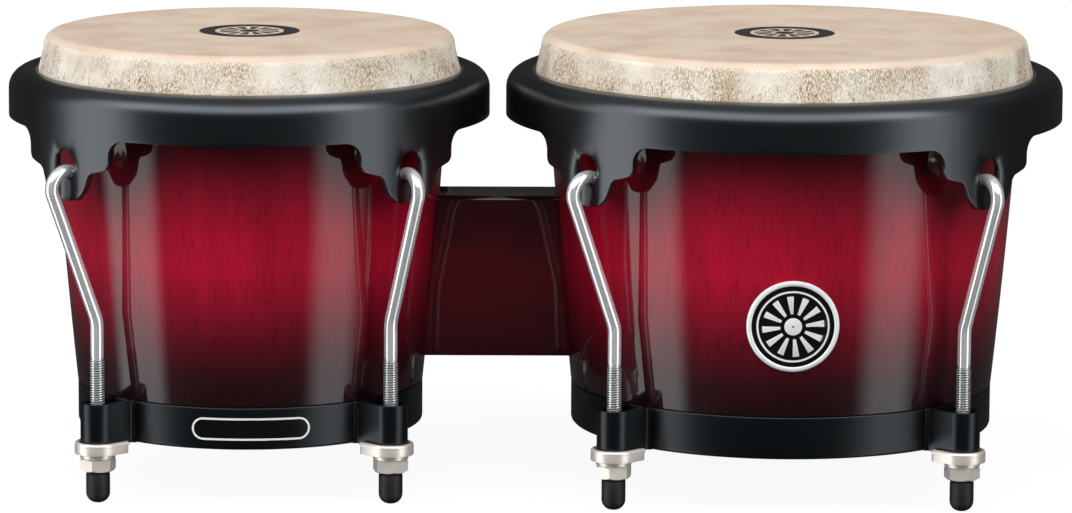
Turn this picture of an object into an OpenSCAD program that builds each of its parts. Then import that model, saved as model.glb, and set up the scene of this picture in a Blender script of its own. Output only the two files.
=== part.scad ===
// Bongo drums: a small drum (macho) and a large drum (hembra) bolted to the two ends of one wooden block.
// Each head is pulled down over its shell by a pressed steel rim, which hangs on four hook rods.
// Frame: +X from the small drum to the large one, -Y to the player's front, +Z up, z = 0 at the rubber caps,
// and x = 0 half way between the outermost points of the two rims.

/* [Heads] */
// Diameter of the small drum's head (6 3/4 in)
macho_head_d = 171.45; // [145:0.05:206]
// Diameter of the large drum's head (8 in)
hembra_head_d = 203.2; // [170:0.05:245]
// Thickness of the rawhide
skin_t = 1.6; // [1:0.1:2.5]
// Radius of the head's shoulder
shoulder_r = 5; // [3:0.5:8]
// Length of the collar that hangs down from the shoulder
collar_len = 18; // [14:0.5:22]

/* [Shells] */
// Height of a shell with its bottom ring
shell_h = 162.4; // [130:0.1:195]
// Wall of a shell
shell_wall = 9; // [7:0.5:12]
// How much smaller the outer radius is at the foot than at the bearing edge
shell_taper = 13.3; // [6:0.1:18]
// How far the side stands out of a straight line at mid height
shell_bulge = 1; // [0:0.1:3]
// Direction of the rims' claws, counted from the drums' diagonals
drum_turn = -1.7; // [-10:0.1:10]
// Direction of the lugs, counted in the same way
ring_turn = -0.2; // [-10:0.1:10]

/* [Bottom rings] */
// Height of a ring above the floor
ring_z = 24.3; // [23:0.1:32]
// Height of a ring
ring_h = 17.6; // [12:0.1:24]
// Thickness of a ring and its inward flange
ring_t = 2.5; // [1.5:0.1:4]
// Width of the flange under the shell
flange_w = 9; // [6:0.5:12]

/* [Lugs] */
// Distance from a ring's outer face to the rod's axis
lug_reach = 12.8; // [10.6:0.1:18]
// Width of the bent strap
lug_w = 14.2; // [13.5:0.1:18]
// Thickness of the strap
lug_t = 2.5; // [1.5:0.1:3]

/* [Rims] */
// How far a rim stands outside its head
rim_over = 14.7; // [13.5:0.1:20]
// Height of a rim's top above its lower edge
rim_h = 19.3; // [16:0.1:26]
// Distance from the head's playing face down to a rim's top
rim_drop = 15; // [10:0.5:20]
// Thickness of the rim plate
rim_t = 3; // [2:0.1:4]
// Radius of the rim's top edge
rim_round = 8; // [5:0.5:10]
// Width of a rim from its outer face to its lip
rim_w = 12; // [10.5:0.1:14]
// Width of a claw
claw_w = 50; // [40:1:60]
// Width of the claw's tongue, below its shoulders
tongue_w = 27; // [20:1:34]
// Length of a claw below the rim's lower edge
claw_len = 27.2; // [24:0.2:34]
// Height of the claw's shoulders above its tip
claw_shoulder = 14.5; // [11:0.5:18]
// Radius of the fillet between rim and claw
claw_fillet = 7; // [3:0.5:8]
// Width of the slot for the rod's hook
slot_w = 10.6; // [7:0.2:12]
// Height of the slot's lower end above the claw's tip
slot_low = 9; // [7:0.5:12]
// Height of the slot's upper end above the claw's tip
slot_high = 21.8; // [18:0.5:26]

/* [Flesh hoops] */
// Thickness of the hoop's wire
hoop_d = 5; // [4:0.1:5.5]

/* [Hook rods] */
// Diameter of the rod
rod_d = 5.5; // [4.5:0.1:5.8]
// Outside diameter of the thread (M6)
thread_d = 6; // [6:0.1:6.2]
// Plain length between the thread and the lower bend
bare_len = 13; // [8:0.5:24]
// Lean of the rod's middle stretch
rod_lean = 21.8; // [17:0.2:25]
// Radius of the lower bend
bend_r = 14; // [8:1:20]
// Radius of the hook
hook_r = 8; // [7:0.5:9]
// Distance of the hook's centre inside the rim's outer face
hook_inset = 2; // [2:0.1:3.5]
// Angle at which the hook ends, counted from straight outward
hook_end = 122; // [110:1:135]
// Length of the hook's straight tip
hook_tip = 3; // [1:0.5:5]
// How much thinner the wire is where it is bent
bend_thin = 0.1; // [0.06:0.01:0.2]

/* [Tuning hardware] */
// Width across the flats of a tuning nut
nut_af = 13; // [10:0.5:14]
// Height of a tuning nut
nut_h = 5.3; // [4:0.1:7]
// Diameter of a thin washer
washer_d = 14.6; // [13:0.1:18]
// Thickness of a thin washer
washer_t = 2; // [1:0.1:2.5]
// Radius of the plate washer's rounded end
plate_r = 9.5; // [9:0.1:12]
// Thickness of a plate washer
plate_t = 3.5; // [2:0.1:4]
// Height of the plate washer's lip
plate_lip = 1.4; // [0.5:0.1:3]
// Diameter of a rubber cap
cap_d = 9.9; // [9:0.1:13]
// Height of a rubber cap
cap_h = 12.8; // [9:0.2:16]
// Thickness of rubber under the rod's end
cap_floor = 3; // [2:0.5:4]

/* [Centre block] */
// Gap between the two shells at half their height
drum_gap = 54; // [40:0.5:70]
// Height of the block's underside
block_z = 53.2; // [48:0.1:60]
// Height of the block
block_h = 67.8; // [55:0.1:80]
// Depth of the block, front to back
block_depth = 29.2; // [25:0.1:40]
// Radius of the block's long edges
block_round = 2; // [1:0.5:4]
// Bevel of the block's upper ends, below the leaning shells
block_ease = 0.6; // [0.4:0.1:1.5]
// Distance of each bolt above and below the block's middle
bolt_offset = 17; // [14:0.5:22]
// Diameter of the bolts (M8)
bolt_d = 8; // [6:1:8]
// Thickness of a bolt's washer
bolt_washer_t = 1.6; // [1:0.1:2.5]

/* [Badge and label] */
// Diameter of the shell badge
badge_d = 38; // [30:1:46]
// Height of the badge's centre
badge_z = 80.3; // [60:0.1:110]
// Direction of the badge, counted from straight forward
badge_turn = 0; // [-10:0.5:10]
// Width of the badge's raised edge
bezel_w = 2; // [1:0.5:3]
// Length of the ring's label
label_len = 50; // [35:1:60]
// Height of the ring's label
label_h = 10; // [6:0.5:11]
// Direction of the ring label, counted from straight forward
label_turn = 2.6; // [-10:0.1:10]

/* [Fits] */
// Gap between still pieces that sit against each other
seat_gap = 0.1; // [0.05:0.01:0.2]
// Gap between pieces that pass each other as the head is tuned
travel_gap = 0.3; // [0.3:0.05:0.6]
// Radial gap of a thread in its nut, and of a rod in its rubber cap
thread_gap = 0.05; // [0.02:0.01:0.09]
// Free length between a tuning nut and its rubber cap
loosen_gap = 0.6; // [0.5:0.1:3]

/* [Hidden] */
$fn = 96;
eps = 0.01;
CORNERS = ["front_left", "front_right", "rear_right", "rear_left"];

// Heights shared by both drums
shell_top = ring_z + shell_h;
head_top = shell_top + seat_gap + skin_t;
rim_top = head_top - rim_drop;
rim_bottom = rim_top - rim_h;
claw_tip = rim_bottom - claw_len;
hook_z = claw_tip + slot_low - hook_clear();
washer_z = ring_z - plate_t - washer_t;
nut_z = washer_z - seat_gap - nut_h;
cap_z = nut_z - loosen_gap - cap_h;
block_mid = block_z + block_h / 2;
bend_lap = 0.5;
claw_inset = 0.05;
fillet_sink = 0.4;
bolt_seat = 1.3;
bolt_washer_d = 2 * bolt_d;
bolt_head_h = 0.65 * bolt_d;
bolt_nut_h = 0.8 * bolt_d;
bolt_af = 1.625 * bolt_d;

// A drum is its name, its head's radius and its axis
macho_r = macho_head_d / 2;
hembra_r = hembra_head_d / 2;
spacing = body_r(macho_r, block_mid) + drum_gap + body_r(hembra_r, block_mid);
macho_x = -(spacing + hembra_r - macho_r) / 2;
hembra_x = macho_x + spacing;
macho = ["macho", macho_r, macho_x];
hembra = ["hembra", hembra_r, hembra_x];

// Outer radius of a shell at height z, for a head of radius r
function body_r(r, z) =
    let (t = (z - ring_z) / shell_h)
    r - skin_t - seat_gap - shell_taper * (1 - t) + 4 * shell_bulge * t * (1 - t);
function ring_r(r) = body_r(r, ring_z + ring_h) - seat_gap;
function rod_r(r) = ring_r(r) + lug_reach;
function rim_r(r) = r + rim_over;
// Height from the slot's lower end down to the hook's centre, so that the hook rests on the slot
function hook_clear() = sqrt(pow(hook_r - rod_d / 2, 2) - pow(hook_inset, 2)) - seat_gap;
// Points of an arc about [x, y]
function arc(x, y, r, from, to, steps = 8) =
    [for (i = [0:steps]) let (a = from + (to - from) * i / steps) [x + r * cos(a), y + r * sin(a)]];
// Points of the shell's side, moved out by grow
function side(r, low, high, grow, steps = 14) =
    [for (i = [0:steps]) let (z = low + (high - low) * i / steps) [body_r(r, z) + grow, z]];
function reversed(list) = [for (i = [len(list) - 1:-1:0]) list[i]];

module on_axis(d) {
    translate([d[2], 0, 0]) children();
}

// Turns its child to corner k; the child lies along +X
module at_corner(d, k) {
    on_axis(d) rotate(drum_turn - 135 + 90 * k) children();
}

module at_rod(d, k) {
    on_axis(d) rotate(ring_turn - 135 + 90 * k) translate([rod_r(d[1]), 0, 0]) children();
}

module shell(d) {
    r = d[1];
    top = shell_top;
    low = ring_z + ring_t + seat_gap;
    rabbet_z = ring_z + ring_h + seat_gap;
    rabbet_r = ring_r(r) - ring_t - seat_gap;
    edge = shoulder_r - skin_t - seat_gap;
    color("crimson") difference() {
        on_axis(d) rotate_extrude() polygon(concat(
            [[rabbet_r, low], [rabbet_r, rabbet_z]],
            side(r, rabbet_z, top - edge, 0),
            arc(body_r(r, top) - edge, top - edge, edge, 0, 90),
            [[body_r(r, top) - edge - 1, top], [body_r(r, top) - shell_wall, top - shell_wall + edge + 1]],
            reversed(side(r, low, top - 2 * shell_wall, -shell_wall, 8))));
        for (s = [-1, 1]) bolt_hole(d, block_mid + s * bolt_offset);
    }
}

// Bore through the shell's wall for a block bolt, with a flat seat inside for its washer
module bolt_hole(d, z) {
    side = d[2] < hembra_x ? 1 : -1;
    seat = body_r(d[1], z) - shell_wall + bolt_seat;
    translate([d[2], 0, z]) rotate([0, side * 90, 0]) {
        cylinder(h = 2 * d[1], d = bolt_d + 2 * travel_gap);
        translate([0, 0, seat - 4 * bolt_seat]) cylinder(h = 4 * bolt_seat, d = bolt_washer_d + 2);
    }
}

module bottom_ring(d) {
    r = ring_r(d[1]);
    color("dimgray") on_axis(d) rotate_extrude() polygon([
        [r - flange_w, ring_z], [r - 0.5, ring_z], [r, ring_z + 0.5],
        [r, ring_z + ring_h - 0.5], [r - 0.5, ring_z + ring_h], [r - ring_t, ring_z + ring_h],
        [r - ring_t, ring_z + ring_t], [r - flange_w, ring_z + ring_t]]);
}

// Outline of the strap's loop about the rod, moved out by grow, reaching inward by reach
module loop_outline(r, reach, grow = 0) {
    circle(r = r + grow);
    translate([-reach, -r - grow]) square([reach, 2 * (r + grow)]);
}

module lug(d) {
    difference() {
        translate([0, 0, ring_z]) linear_extrude(ring_h) difference() {
            loop_outline(lug_w / 2, lug_reach + ring_t);
            loop_outline(lug_w / 2 - lug_t, lug_reach + 2 * ring_t);
        }
        translate([-rod_r(d[1]), 0, ring_z - 1]) cylinder(h = ring_h + 2, r = ring_r(d[1]) + eps);
    }
}

module lugs(d) {
    color("dimgray") for (k = [0:3]) at_rod(d, k) lug(d);
}

module head(d) {
    r = d[1];
    bend = shoulder_r;
    low = head_top - collar_len;
    color("bisque") on_axis(d) rotate_extrude() polygon(concat(
        [[0, head_top - skin_t], [r - bend, head_top - skin_t]],
        reversed(arc(r - bend, head_top - bend, bend - skin_t, 0, 90)),
        [[r - skin_t + 0.3, low], [r + 0.3, low]],
        arc(r - bend, head_top - bend, bend, 0, 90),
        [[0, head_top]]));
}

// Wire hoop that the rawhide is lapped round, under the rim's lip
module flesh_hoop(d) {
    r = d[1] + skin_t + hoop_d / 2;
    color("darkgray") on_axis(d) translate([0, 0, rim_top - rim_t - seat_gap - hoop_d / 2])
        rotate_extrude() translate([r, 0]) circle(d = hoop_d, $fn = 32);
}

// Half of the claw's outline as [across, height above the tip]
function claw_side() =
    let (w = claw_w / 2, t = tongue_w / 2, corner = 3.5, h = claw_shoulder)
    concat(
        [[w + claw_fillet, claw_len + rim_t]],
        arc(w + claw_fillet, claw_len - claw_fillet + fillet_sink, claw_fillet, 90, 180, 6),
        arc(w - corner, h + corner, corner, 0, -80, 5),
        arc(t + corner, h - corner - 1, corner, 90, 170, 5),
        [for (a = [5:12:89]) [(t - 0.5) * cos(a), 9.5 * (1 - sin(a))]]);

module claw_outline() {
    half = claw_side();
    polygon(concat(half, [[0, 0]], [for (p = reversed(half)) [-p[0], p[1]]]));
}

module claw(d) {
    r = rim_r(d[1]);
    difference() {
        intersection() {
            translate([0, 0, claw_tip - 1]) difference() {
                cylinder(h = claw_len + rim_t, r = r - claw_inset);
                translate([0, 0, -1]) cylinder(h = claw_len + rim_t + 2, r = r - rim_t + claw_inset);
            }
            translate([0, 0, claw_tip]) rotate([90, 0, 90]) linear_extrude(2 * r) claw_outline();
        }
        translate([0, 0, claw_tip]) rotate([90, 0, 90]) linear_extrude(2 * r) {
            translate([0, slot_low + slot_w / 2]) circle(d = slot_w);
            translate([0, slot_high - slot_w / 2]) circle(d = slot_w);
            translate([-slot_w / 2, slot_low + slot_w / 2]) square([slot_w, slot_high - slot_low - slot_w]);
        }
    }
}

module rim(d) {
    r = rim_r(d[1]);
    bend = rim_round;
    color("dimgray") {
        on_axis(d) rotate_extrude() polygon(concat(
            [[r - rim_t, rim_bottom], [r, rim_bottom]],
            arc(r - bend, rim_top - bend, bend, 0, 90),
            [[r - rim_w + 1, rim_top], [r - rim_w, rim_top - 1],
                [r - rim_w, rim_top - rim_t + 1], [r - rim_w + 1, rim_top - rim_t]],
            reversed(arc(r - bend, rim_top - bend, bend - rim_t, 0, 90))));
        for (k = [0:3]) at_corner(d, k) claw(d);
    }
}

// Bent wire in the XZ plane: part of a ring about [x, z], a little thinner than the straight wire
module bend(x, z, r, from, to) {
    translate([x, 0, z]) rotate([90, 0, 0]) rotate(from)
        rotate_extrude(angle = to - from) translate([r, 0]) circle(d = rod_d - bend_thin);
}

// Straight wire in the XZ plane from [x, z], leaning out from upright, lapped into the bends at its ends
module straight(x, z, length, lean, laps = [1, 1]) {
    translate([x, 0, z]) rotate([0, lean, 0]) translate([0, 0, -laps[0] * bend_lap])
        cylinder(h = length + (laps[0] + laps[1]) * bend_lap, d = rod_d);
}

// The rod stands in the upright plane through its lug and its claw's slot
module rod(d, k) {
    reach = rim_r(d[1]) - hook_inset;
    along = reach * cos(drum_turn - ring_turn) - rod_r(d[1]);
    aside = reach * sin(drum_turn - ring_turn);
    hook_x = norm([along, aside]);
    top = [hook_x + hook_r * cos(rod_lean), hook_z - hook_r * sin(rod_lean)];
    low_x = bend_r * (1 - cos(rod_lean));
    low_z = top[1] - (top[0] - low_x) / tan(rod_lean);
    bend_z = low_z - bend_r * sin(rod_lean);
    thread_top = bend_z - bare_len;
    end = [hook_x + hook_r * cos(hook_end), hook_z + hook_r * sin(hook_end)];
    color("silver") at_rod(d, k) rotate(atan2(aside, along)) {
        translate([0, 0, cap_z + cap_floor]) cylinder(h = thread_top - cap_z - cap_floor, d = thread_d);
        straight(0, thread_top, bare_len, 0);
        bend(bend_r, bend_z, bend_r, 180, 180 - rod_lean);
        straight(low_x, low_z, (top[1] - low_z) / cos(rod_lean), rod_lean);
        bend(hook_x, hook_z, hook_r, -rod_lean, hook_end);
        straight(end[0], end[1], hook_tip, -hook_end, [1, 0]);
    }
}

// Hexagon with its corners turned off
module hexagon(af, h) {
    out = af / sqrt(3);
    intersection() {
        cylinder(h = h, r = out, $fn = 6);
        rotate_extrude() polygon([[0, 0], [af / 2, 0], [out, 0.7], [out, h - 0.7], [af / 2, h], [0, h]]);
    }
}

module nut(d, k) {
    color("silver") at_rod(d, k) translate([0, 0, nut_z]) difference() {
        hexagon(nut_af, nut_h);
        translate([0, 0, -1]) cylinder(h = nut_h + 2, r = thread_d / 2 + thread_gap);
    }
}

module thin_washers(d) {
    color("gainsboro") for (k = [0:3]) at_rod(d, k) translate([0, 0, washer_z]) difference() {
        cylinder(h = washer_t - seat_gap, d = washer_d);
        translate([0, 0, -1]) cylinder(h = washer_t + 2, r = thread_d / 2 + travel_gap);
    }
}

// Plate with one round end and a lip that holds the strap's loop
module plate_washers(d) {
    low = ring_z - plate_t;
    inner = plate_r - 0.5;
    color("wheat") for (k = [0:3]) at_rod(d, k) difference() {
        translate([0, 0, low]) linear_extrude(plate_t + plate_lip) loop_outline(plate_r, inner);
        translate([0, 0, ring_z - seat_gap]) linear_extrude(plate_lip + 1)
            loop_outline(lug_w / 2, lug_reach, seat_gap);
        translate([0, 0, low - 1]) cylinder(h = plate_t + 2, r = thread_d / 2 + travel_gap);
    }
}

module cap(d, k) {
    r = cap_d / 2;
    bore_r = thread_d / 2 + thread_gap;
    dome = 3;
    color("black") at_rod(d, k) translate([0, 0, cap_z]) rotate_extrude() polygon(concat(
        [[0, 0]], arc(r - dome, dome, dome, -90, 0),
        [[r - 0.3, cap_h], [bore_r, cap_h], [bore_r, cap_floor], [0, cap_floor]]));
}

module centre_block() {
    middle = (macho_x + hembra_x) / 2;
    r = block_round;
    top = block_mid + block_h / 2;
    color("darkred") difference() {
        translate([macho_x, 0, block_mid]) rotate([90, 0, 90]) linear_extrude(spacing) {
            square([block_depth - 2 * r, block_h], center = true);
            square([block_depth, block_h - 2 * r], center = true);
            for (x = [-1, 1], y = [-1, 1])
                translate([x * (block_depth / 2 - r), y * (block_h / 2 - r)]) circle(r = r);
        }
        for (d = [macho, hembra]) on_axis(d) rotate_extrude()
            polygon(concat([[0, ring_z]], side(d[1], ring_z, shell_top, seat_gap), [[0, shell_top]]));
        for (d = [macho, hembra]) on_axis(d) translate([0, 0, top - block_ease])
            cylinder(h = 2 * block_ease, r1 = body_r(d[1], top), r2 = body_r(d[1], top) + 2 * block_ease);
        for (s = [-1, 1]) translate([middle, 0, block_mid + s * bolt_offset]) rotate([0, 90, 0])
            cylinder(h = spacing, d = bolt_d + 2 * travel_gap, center = true);
    }
}

// Ends of a block bolt's grip: the seats inside the two shells at height z
function grip(z) =
    [macho_x + body_r(macho_r, z) - shell_wall + bolt_seat,
     hembra_x - body_r(hembra_r, z) + shell_wall - bolt_seat];

module block_bolt(s) {
    z = block_mid + s * bolt_offset;
    seats = grip(z);
    start = seats[0] - bolt_washer_t - 2 * seat_gap;
    end = seats[1] + bolt_washer_t + 2 * seat_gap + bolt_nut_h + 3;
    color("gray") translate([start, 0, z]) rotate([0, 90, 0]) {
        cylinder(h = end - start, d = bolt_d);
        translate([0, 0, -bolt_head_h]) hexagon(bolt_af, bolt_head_h);
    }
}

module ring_disc(x, z, h, outer, inner) {
    translate([x, 0, z]) rotate([0, 90, 0]) difference() {
        cylinder(h = h, d = outer);
        translate([0, 0, -1]) cylinder(h = h + 2, d = inner);
    }
}

module block_bolt_washers() {
    hole = bolt_d + 2 * seat_gap;
    color("silver") for (s = [-1, 1]) {
        z = block_mid + s * bolt_offset;
        ring_disc(grip(z)[0] - seat_gap - bolt_washer_t, z, bolt_washer_t, bolt_washer_d, hole);
        ring_disc(grip(z)[1] + seat_gap, z, bolt_washer_t, bolt_washer_d, hole);
    }
}

module block_bolt_nuts() {
    color("silver") for (s = [-1, 1]) {
        z = block_mid + s * bolt_offset;
        translate([grip(z)[1] + bolt_washer_t + 2 * seat_gap, 0, z]) rotate([0, 90, 0]) difference() {
            hexagon(bolt_af, bolt_nut_h);
            translate([0, 0, -1]) cylinder(h = bolt_nut_h + 2, r = bolt_d / 2 + thread_gap);
        }
    }
}

// Skin over the large shell's side between two distances out from it
module over_shell(inner, outer) {
    low = badge_z - 0.6 * badge_d;
    high = badge_z + 0.6 * badge_d;
    on_axis(hembra) rotate_extrude() polygon(concat(
        side(hembra_r, low, high, outer, 5), reversed(side(hembra_r, low, high, inner, 5))));
}

module badge_cutter(d) {
    on_axis(hembra) rotate(badge_turn) translate([0, 0, badge_z]) rotate([90, 0, 0])
        cylinder(h = 2 * hembra_r, d = d);
}

module shell_badge() {
    color("black") intersection() {
        over_shell(seat_gap, 0.8);
        badge_cutter(badge_d - 2 * bezel_w - 2 * seat_gap);
    }
}

module badge_bezel() {
    color("silver") intersection() {
        over_shell(seat_gap, 1.3);
        difference() {
            badge_cutter(badge_d);
            badge_cutter(badge_d - 2 * bezel_w);
        }
    }
}

// Thin plate with round ends on the front of the small drum's ring
module ring_label() {
    r = ring_r(macho_r) + seat_gap;
    flat = label_len - label_h;
    color("black") intersection() {
        on_axis(macho) translate([0, 0, ring_z]) difference() {
            cylinder(h = ring_h, r = r + 0.4);
            translate([0, 0, -1]) cylinder(h = ring_h + 2, r = r);
        }
        translate([macho_x, 0, ring_z + ring_h / 2]) rotate([90, 0, label_turn]) linear_extrude(2 * r) {
            square([flat, label_h], center = true);
            for (x = [-1, 1]) translate([x * flat / 2, 0]) circle(d = label_h);
        }
    }
}

for (d = [macho, hembra]) {
    shell(d);
    bottom_ring(d);
    lugs(d);
    head(d);
    flesh_hoop(d);
    rim(d);
    plate_washers(d);
    thin_washers(d);
    for (k = [0:3]) {
        rod(d, k);
        nut(d, k);
        cap(d, k);
    }
}
centre_block();
block_bolt(1);  // upper_block_bolt
block_bolt(-1);  // lower_block_bolt
block_bolt_washers();
block_bolt_nuts();
shell_badge();
badge_bezel();
ring_label();
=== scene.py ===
# %% [markdown]
# # A pair of bongo drums
# Two tapered wooden drums, the small macho and the large hembra, are bolted to one wooden block. Each head
# is pulled down over its shell by a black steel rim, which hangs on four bright hook rods with nuts under
# the drum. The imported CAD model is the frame: it gives every place and size, and each cell below dresses
# one kind of piece.

# %% Load the frame
import math
import random

import bmesh
import bpy
from mathutils import Euler, Matrix, Vector, noise


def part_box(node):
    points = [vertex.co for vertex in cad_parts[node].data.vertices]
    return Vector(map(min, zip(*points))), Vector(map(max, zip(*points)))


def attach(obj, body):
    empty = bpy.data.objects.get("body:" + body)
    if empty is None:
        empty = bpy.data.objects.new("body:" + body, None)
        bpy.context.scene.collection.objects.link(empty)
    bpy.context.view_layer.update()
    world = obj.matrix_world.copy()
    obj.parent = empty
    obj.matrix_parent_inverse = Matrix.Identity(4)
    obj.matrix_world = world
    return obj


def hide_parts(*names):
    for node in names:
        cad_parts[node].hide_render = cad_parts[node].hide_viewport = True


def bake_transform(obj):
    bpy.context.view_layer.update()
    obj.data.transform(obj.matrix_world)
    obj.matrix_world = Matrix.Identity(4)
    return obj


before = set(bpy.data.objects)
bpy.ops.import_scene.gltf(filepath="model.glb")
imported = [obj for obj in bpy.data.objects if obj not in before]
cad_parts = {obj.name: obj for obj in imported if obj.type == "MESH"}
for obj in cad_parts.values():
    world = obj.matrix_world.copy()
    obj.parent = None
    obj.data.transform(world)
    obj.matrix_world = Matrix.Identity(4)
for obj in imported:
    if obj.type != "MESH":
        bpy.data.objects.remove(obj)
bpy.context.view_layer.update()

MM = 0.001

# %% [markdown]
# The camera stands 2.4 m away with a long lens, a little above the rims, and aims at the middle of the
# pair. It comes first, because everything else is judged from it. A long lens is the honest way to get the
# flat ellipses of the heads; a short one close by would bulge the drums.

# %% Camera
VIEW_DISTANCE = 2.3668
VIEW_ELEVATION = math.radians(9.53)
VIEW_AZIMUTH = math.radians(-0.53)
VIEW_ROLL = math.radians(0.30)
VIEW_AIM = Vector((0.4, 0.0, 93.2)) * MM

camera_data = bpy.data.cameras.new("studio_camera")
camera_data.lens = 189.0
camera_data.sensor_width = 36.0
camera_data.clip_start = 0.1
camera_data.clip_end = 50.0
camera = bpy.data.objects.new("studio_camera", camera_data)
bpy.context.scene.collection.objects.link(camera)
away = Vector((
    math.sin(VIEW_AZIMUTH) * math.cos(VIEW_ELEVATION),
    -math.cos(VIEW_AZIMUTH) * math.cos(VIEW_ELEVATION),
    math.sin(VIEW_ELEVATION),
))
camera.location = VIEW_AIM + VIEW_DISTANCE * away
upright = Euler((math.pi / 2 - VIEW_ELEVATION, 0.0, VIEW_AZIMUTH)).to_matrix()
camera.rotation_euler = (upright @ Matrix.Rotation(VIEW_ROLL, 3, "Z")).to_euler()
bpy.context.scene.camera = camera
bpy.context.scene.view_settings.view_transform = "Standard"
print("camera at mm:", [round(v / MM) for v in camera.location])

# %% [markdown]
# Every finish is a small tree of shader nodes, and a few helpers keep the trees short. A hex colour, as a
# paint chart gives it, is turned into the linear numbers that a shader works in. One helper adds any node
# with its settings and inputs: an input is linked when it is given another node's socket, and set when
# given a value.

# %% Colour and node helpers
MULTIPLY = {"data_type": "RGBA", "blend_type": "MULTIPLY"}


def hex_colour(code, alpha=1.0):
    """An sRGB hex code as linear red, green, blue and alpha."""
    parts = [int(code[i:i + 2], 16) / 255 for i in (1, 3, 5)]
    linear = [c / 12.92 if c <= 0.04045 else ((c + 0.055) / 1.055) ** 2.4 for c in parts]
    return (*linear, alpha)


def feed(node, inputs):
    """Gives a node its inputs, by name or number: a socket is linked, a plain value is set."""
    for key, value in inputs.items():
        if isinstance(value, bpy.types.NodeSocket):
            node.id_data.links.new(value, node.inputs[key])
        else:
            node.inputs[key].default_value = value
    return node


def add(tree, kind, inputs=None, stops=(), **settings):
    """Adds a node with its settings and inputs and, for a colour ramp, its stops as (place, hex colour)."""
    made = tree.nodes.new(kind)
    for key, value in settings.items():
        setattr(made, key, value)
    for i, (place, colour) in enumerate(stops):
        elements = made.color_ramp.elements
        element = elements[i] if i < len(elements) and i < 2 else elements.new(place)
        element.position = place
        element.color = hex_colour(colour)
    return feed(made, inputs or {})


def new_material(name):
    """A new material, its node tree, and the Principled shader that the tree starts with."""
    made = bpy.data.materials.new(name)
    made.use_nodes = True
    shader = next(node for node in made.node_tree.nodes if node.type == "BSDF_PRINCIPLED")
    return made, made.node_tree, shader


def per_mm(size):
    """Noise scale that makes one feature about this many millimetres across."""
    return 1.0 / (size * MM)


print("mid grey in linear light:", round(hex_colour("#808080")[0], 3))

# %% [markdown]
# The light is a studio sky: a wide soft box overhead, a tall strip at each side in front, and a dim fill.
# It is painted on the world by direction, with soft edges, because lacquer and chrome mirror the lights,
# and an area light would show in them as a hard-edged rectangle. The camera itself sees plain white behind
# the drums.

# %% Studio sky
# centre and half width in degrees round from the front, softness, lowest and highest sine of elevation, power
STRIPS = [
    (-76.0, 18.0, 6.0, -0.75, 0.80, 1.9),
    (58.0, 14.0, 8.0, -0.75, 0.80, 1.6),
    (0.0, 66.0, 10.0, 0.42, 0.88, 2.2),
]
STRIP_FADE = 0.12
ROOF_POWER = 0.30
FILL_POWER = 0.045


def strip_light(tree, azimuth, z, strip):
    """Brightness of one strip light, fading at its sides and ends, in the direction of azimuth and z."""
    centre, half, soft, low, high, power = strip
    offset = add(tree, "ShaderNodeMath", {0: azimuth, 1: math.radians(centre)}, operation="SUBTRACT")
    limits = [
        (add(tree, "ShaderNodeMath", {0: offset.outputs[0]}, operation="ABSOLUTE").outputs[0],
         math.radians(half + soft), math.radians(half - soft), power),
        (z, low - STRIP_FADE, low + STRIP_FADE, 1.0),
        (z, high + STRIP_FADE, high - STRIP_FADE, 1.0),
    ]
    bright = 1.0
    for value, dark_at, full_at, most in limits:
        fade = add(tree, "ShaderNodeMapRange", {
            "Value": value, "From Min": dark_at, "From Max": full_at, "To Max": most,
        }, interpolation_type="SMOOTHSTEP").outputs[0]
        bright = add(tree, "ShaderNodeMath", {0: bright, 1: fade}, operation="MULTIPLY").outputs[0]
    return bright


def studio_sky():
    """The world: the three strips, a faint roof and a fill, and plain white for the camera."""
    world = bpy.data.worlds.new("studio_sky")
    bpy.context.scene.world = world
    world.use_nodes = True
    tree = world.node_tree
    tree.nodes.clear()
    direction = add(tree, "ShaderNodeTexCoord").outputs["Generated"]
    x, y, z = add(tree, "ShaderNodeSeparateXYZ", {0: direction}).outputs
    back = add(tree, "ShaderNodeMath", {0: y, 1: -1.0}, operation="MULTIPLY").outputs[0]
    azimuth = add(tree, "ShaderNodeMath", {0: x, 1: back}, operation="ARCTAN2").outputs[0]
    roof = add(tree, "ShaderNodeMapRange", {
        "Value": z, "From Min": 0.45, "From Max": 0.85, "To Max": ROOF_POWER,
    }, interpolation_type="SMOOTHSTEP").outputs[0]
    total = add(tree, "ShaderNodeMath", {0: roof, 1: FILL_POWER}, operation="ADD").outputs[0]
    for strip in STRIPS:
        light = strip_light(tree, azimuth, z, strip)
        total = add(tree, "ShaderNodeMath", {0: total, 1: light}, operation="ADD").outputs[0]
    seen = add(tree, "ShaderNodeLightPath").outputs["Is Camera Ray"]
    power = add(tree, "ShaderNodeMix", {"Factor": seen, "A": total, "B": 1.0}).outputs["Result"]
    sky = add(tree, "ShaderNodeBackground", {"Color": hex_colour("#ffffff"), "Strength": power})
    add(tree, "ShaderNodeOutputWorld", {"Surface": sky.outputs[0]})


studio_sky()
print("strip lights:", len(STRIPS))

# %% [markdown]
# Two broad lamps, one from each side, give the wood and the hide their body colour. They are hidden from
# reflections, which belong to the strips. The floor is matt white paper, a little lit from within for the
# camera only, so that it stays as pale as the background and still takes a faint shadow under the feet.

# %% Lamps and floor
LAMPS = [("soft_left", -68, 1.5), ("soft_right", 52, 0.95)]
LAMP_TILT = 78
LAMP_SPREAD = 35
FLOOR_REACH = 12.0
FLOOR_GLOW = 0.93

for name, azimuth, strength in LAMPS:
    lamp = bpy.data.lights.new(name, "SUN")
    lamp.energy = strength
    lamp.angle = math.radians(LAMP_SPREAD)
    source = bpy.data.objects.new(name, lamp)
    source.rotation_euler = (math.radians(LAMP_TILT), 0.0, math.radians(azimuth))
    source.visible_glossy = False
    bpy.context.scene.collection.objects.link(source)

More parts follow.
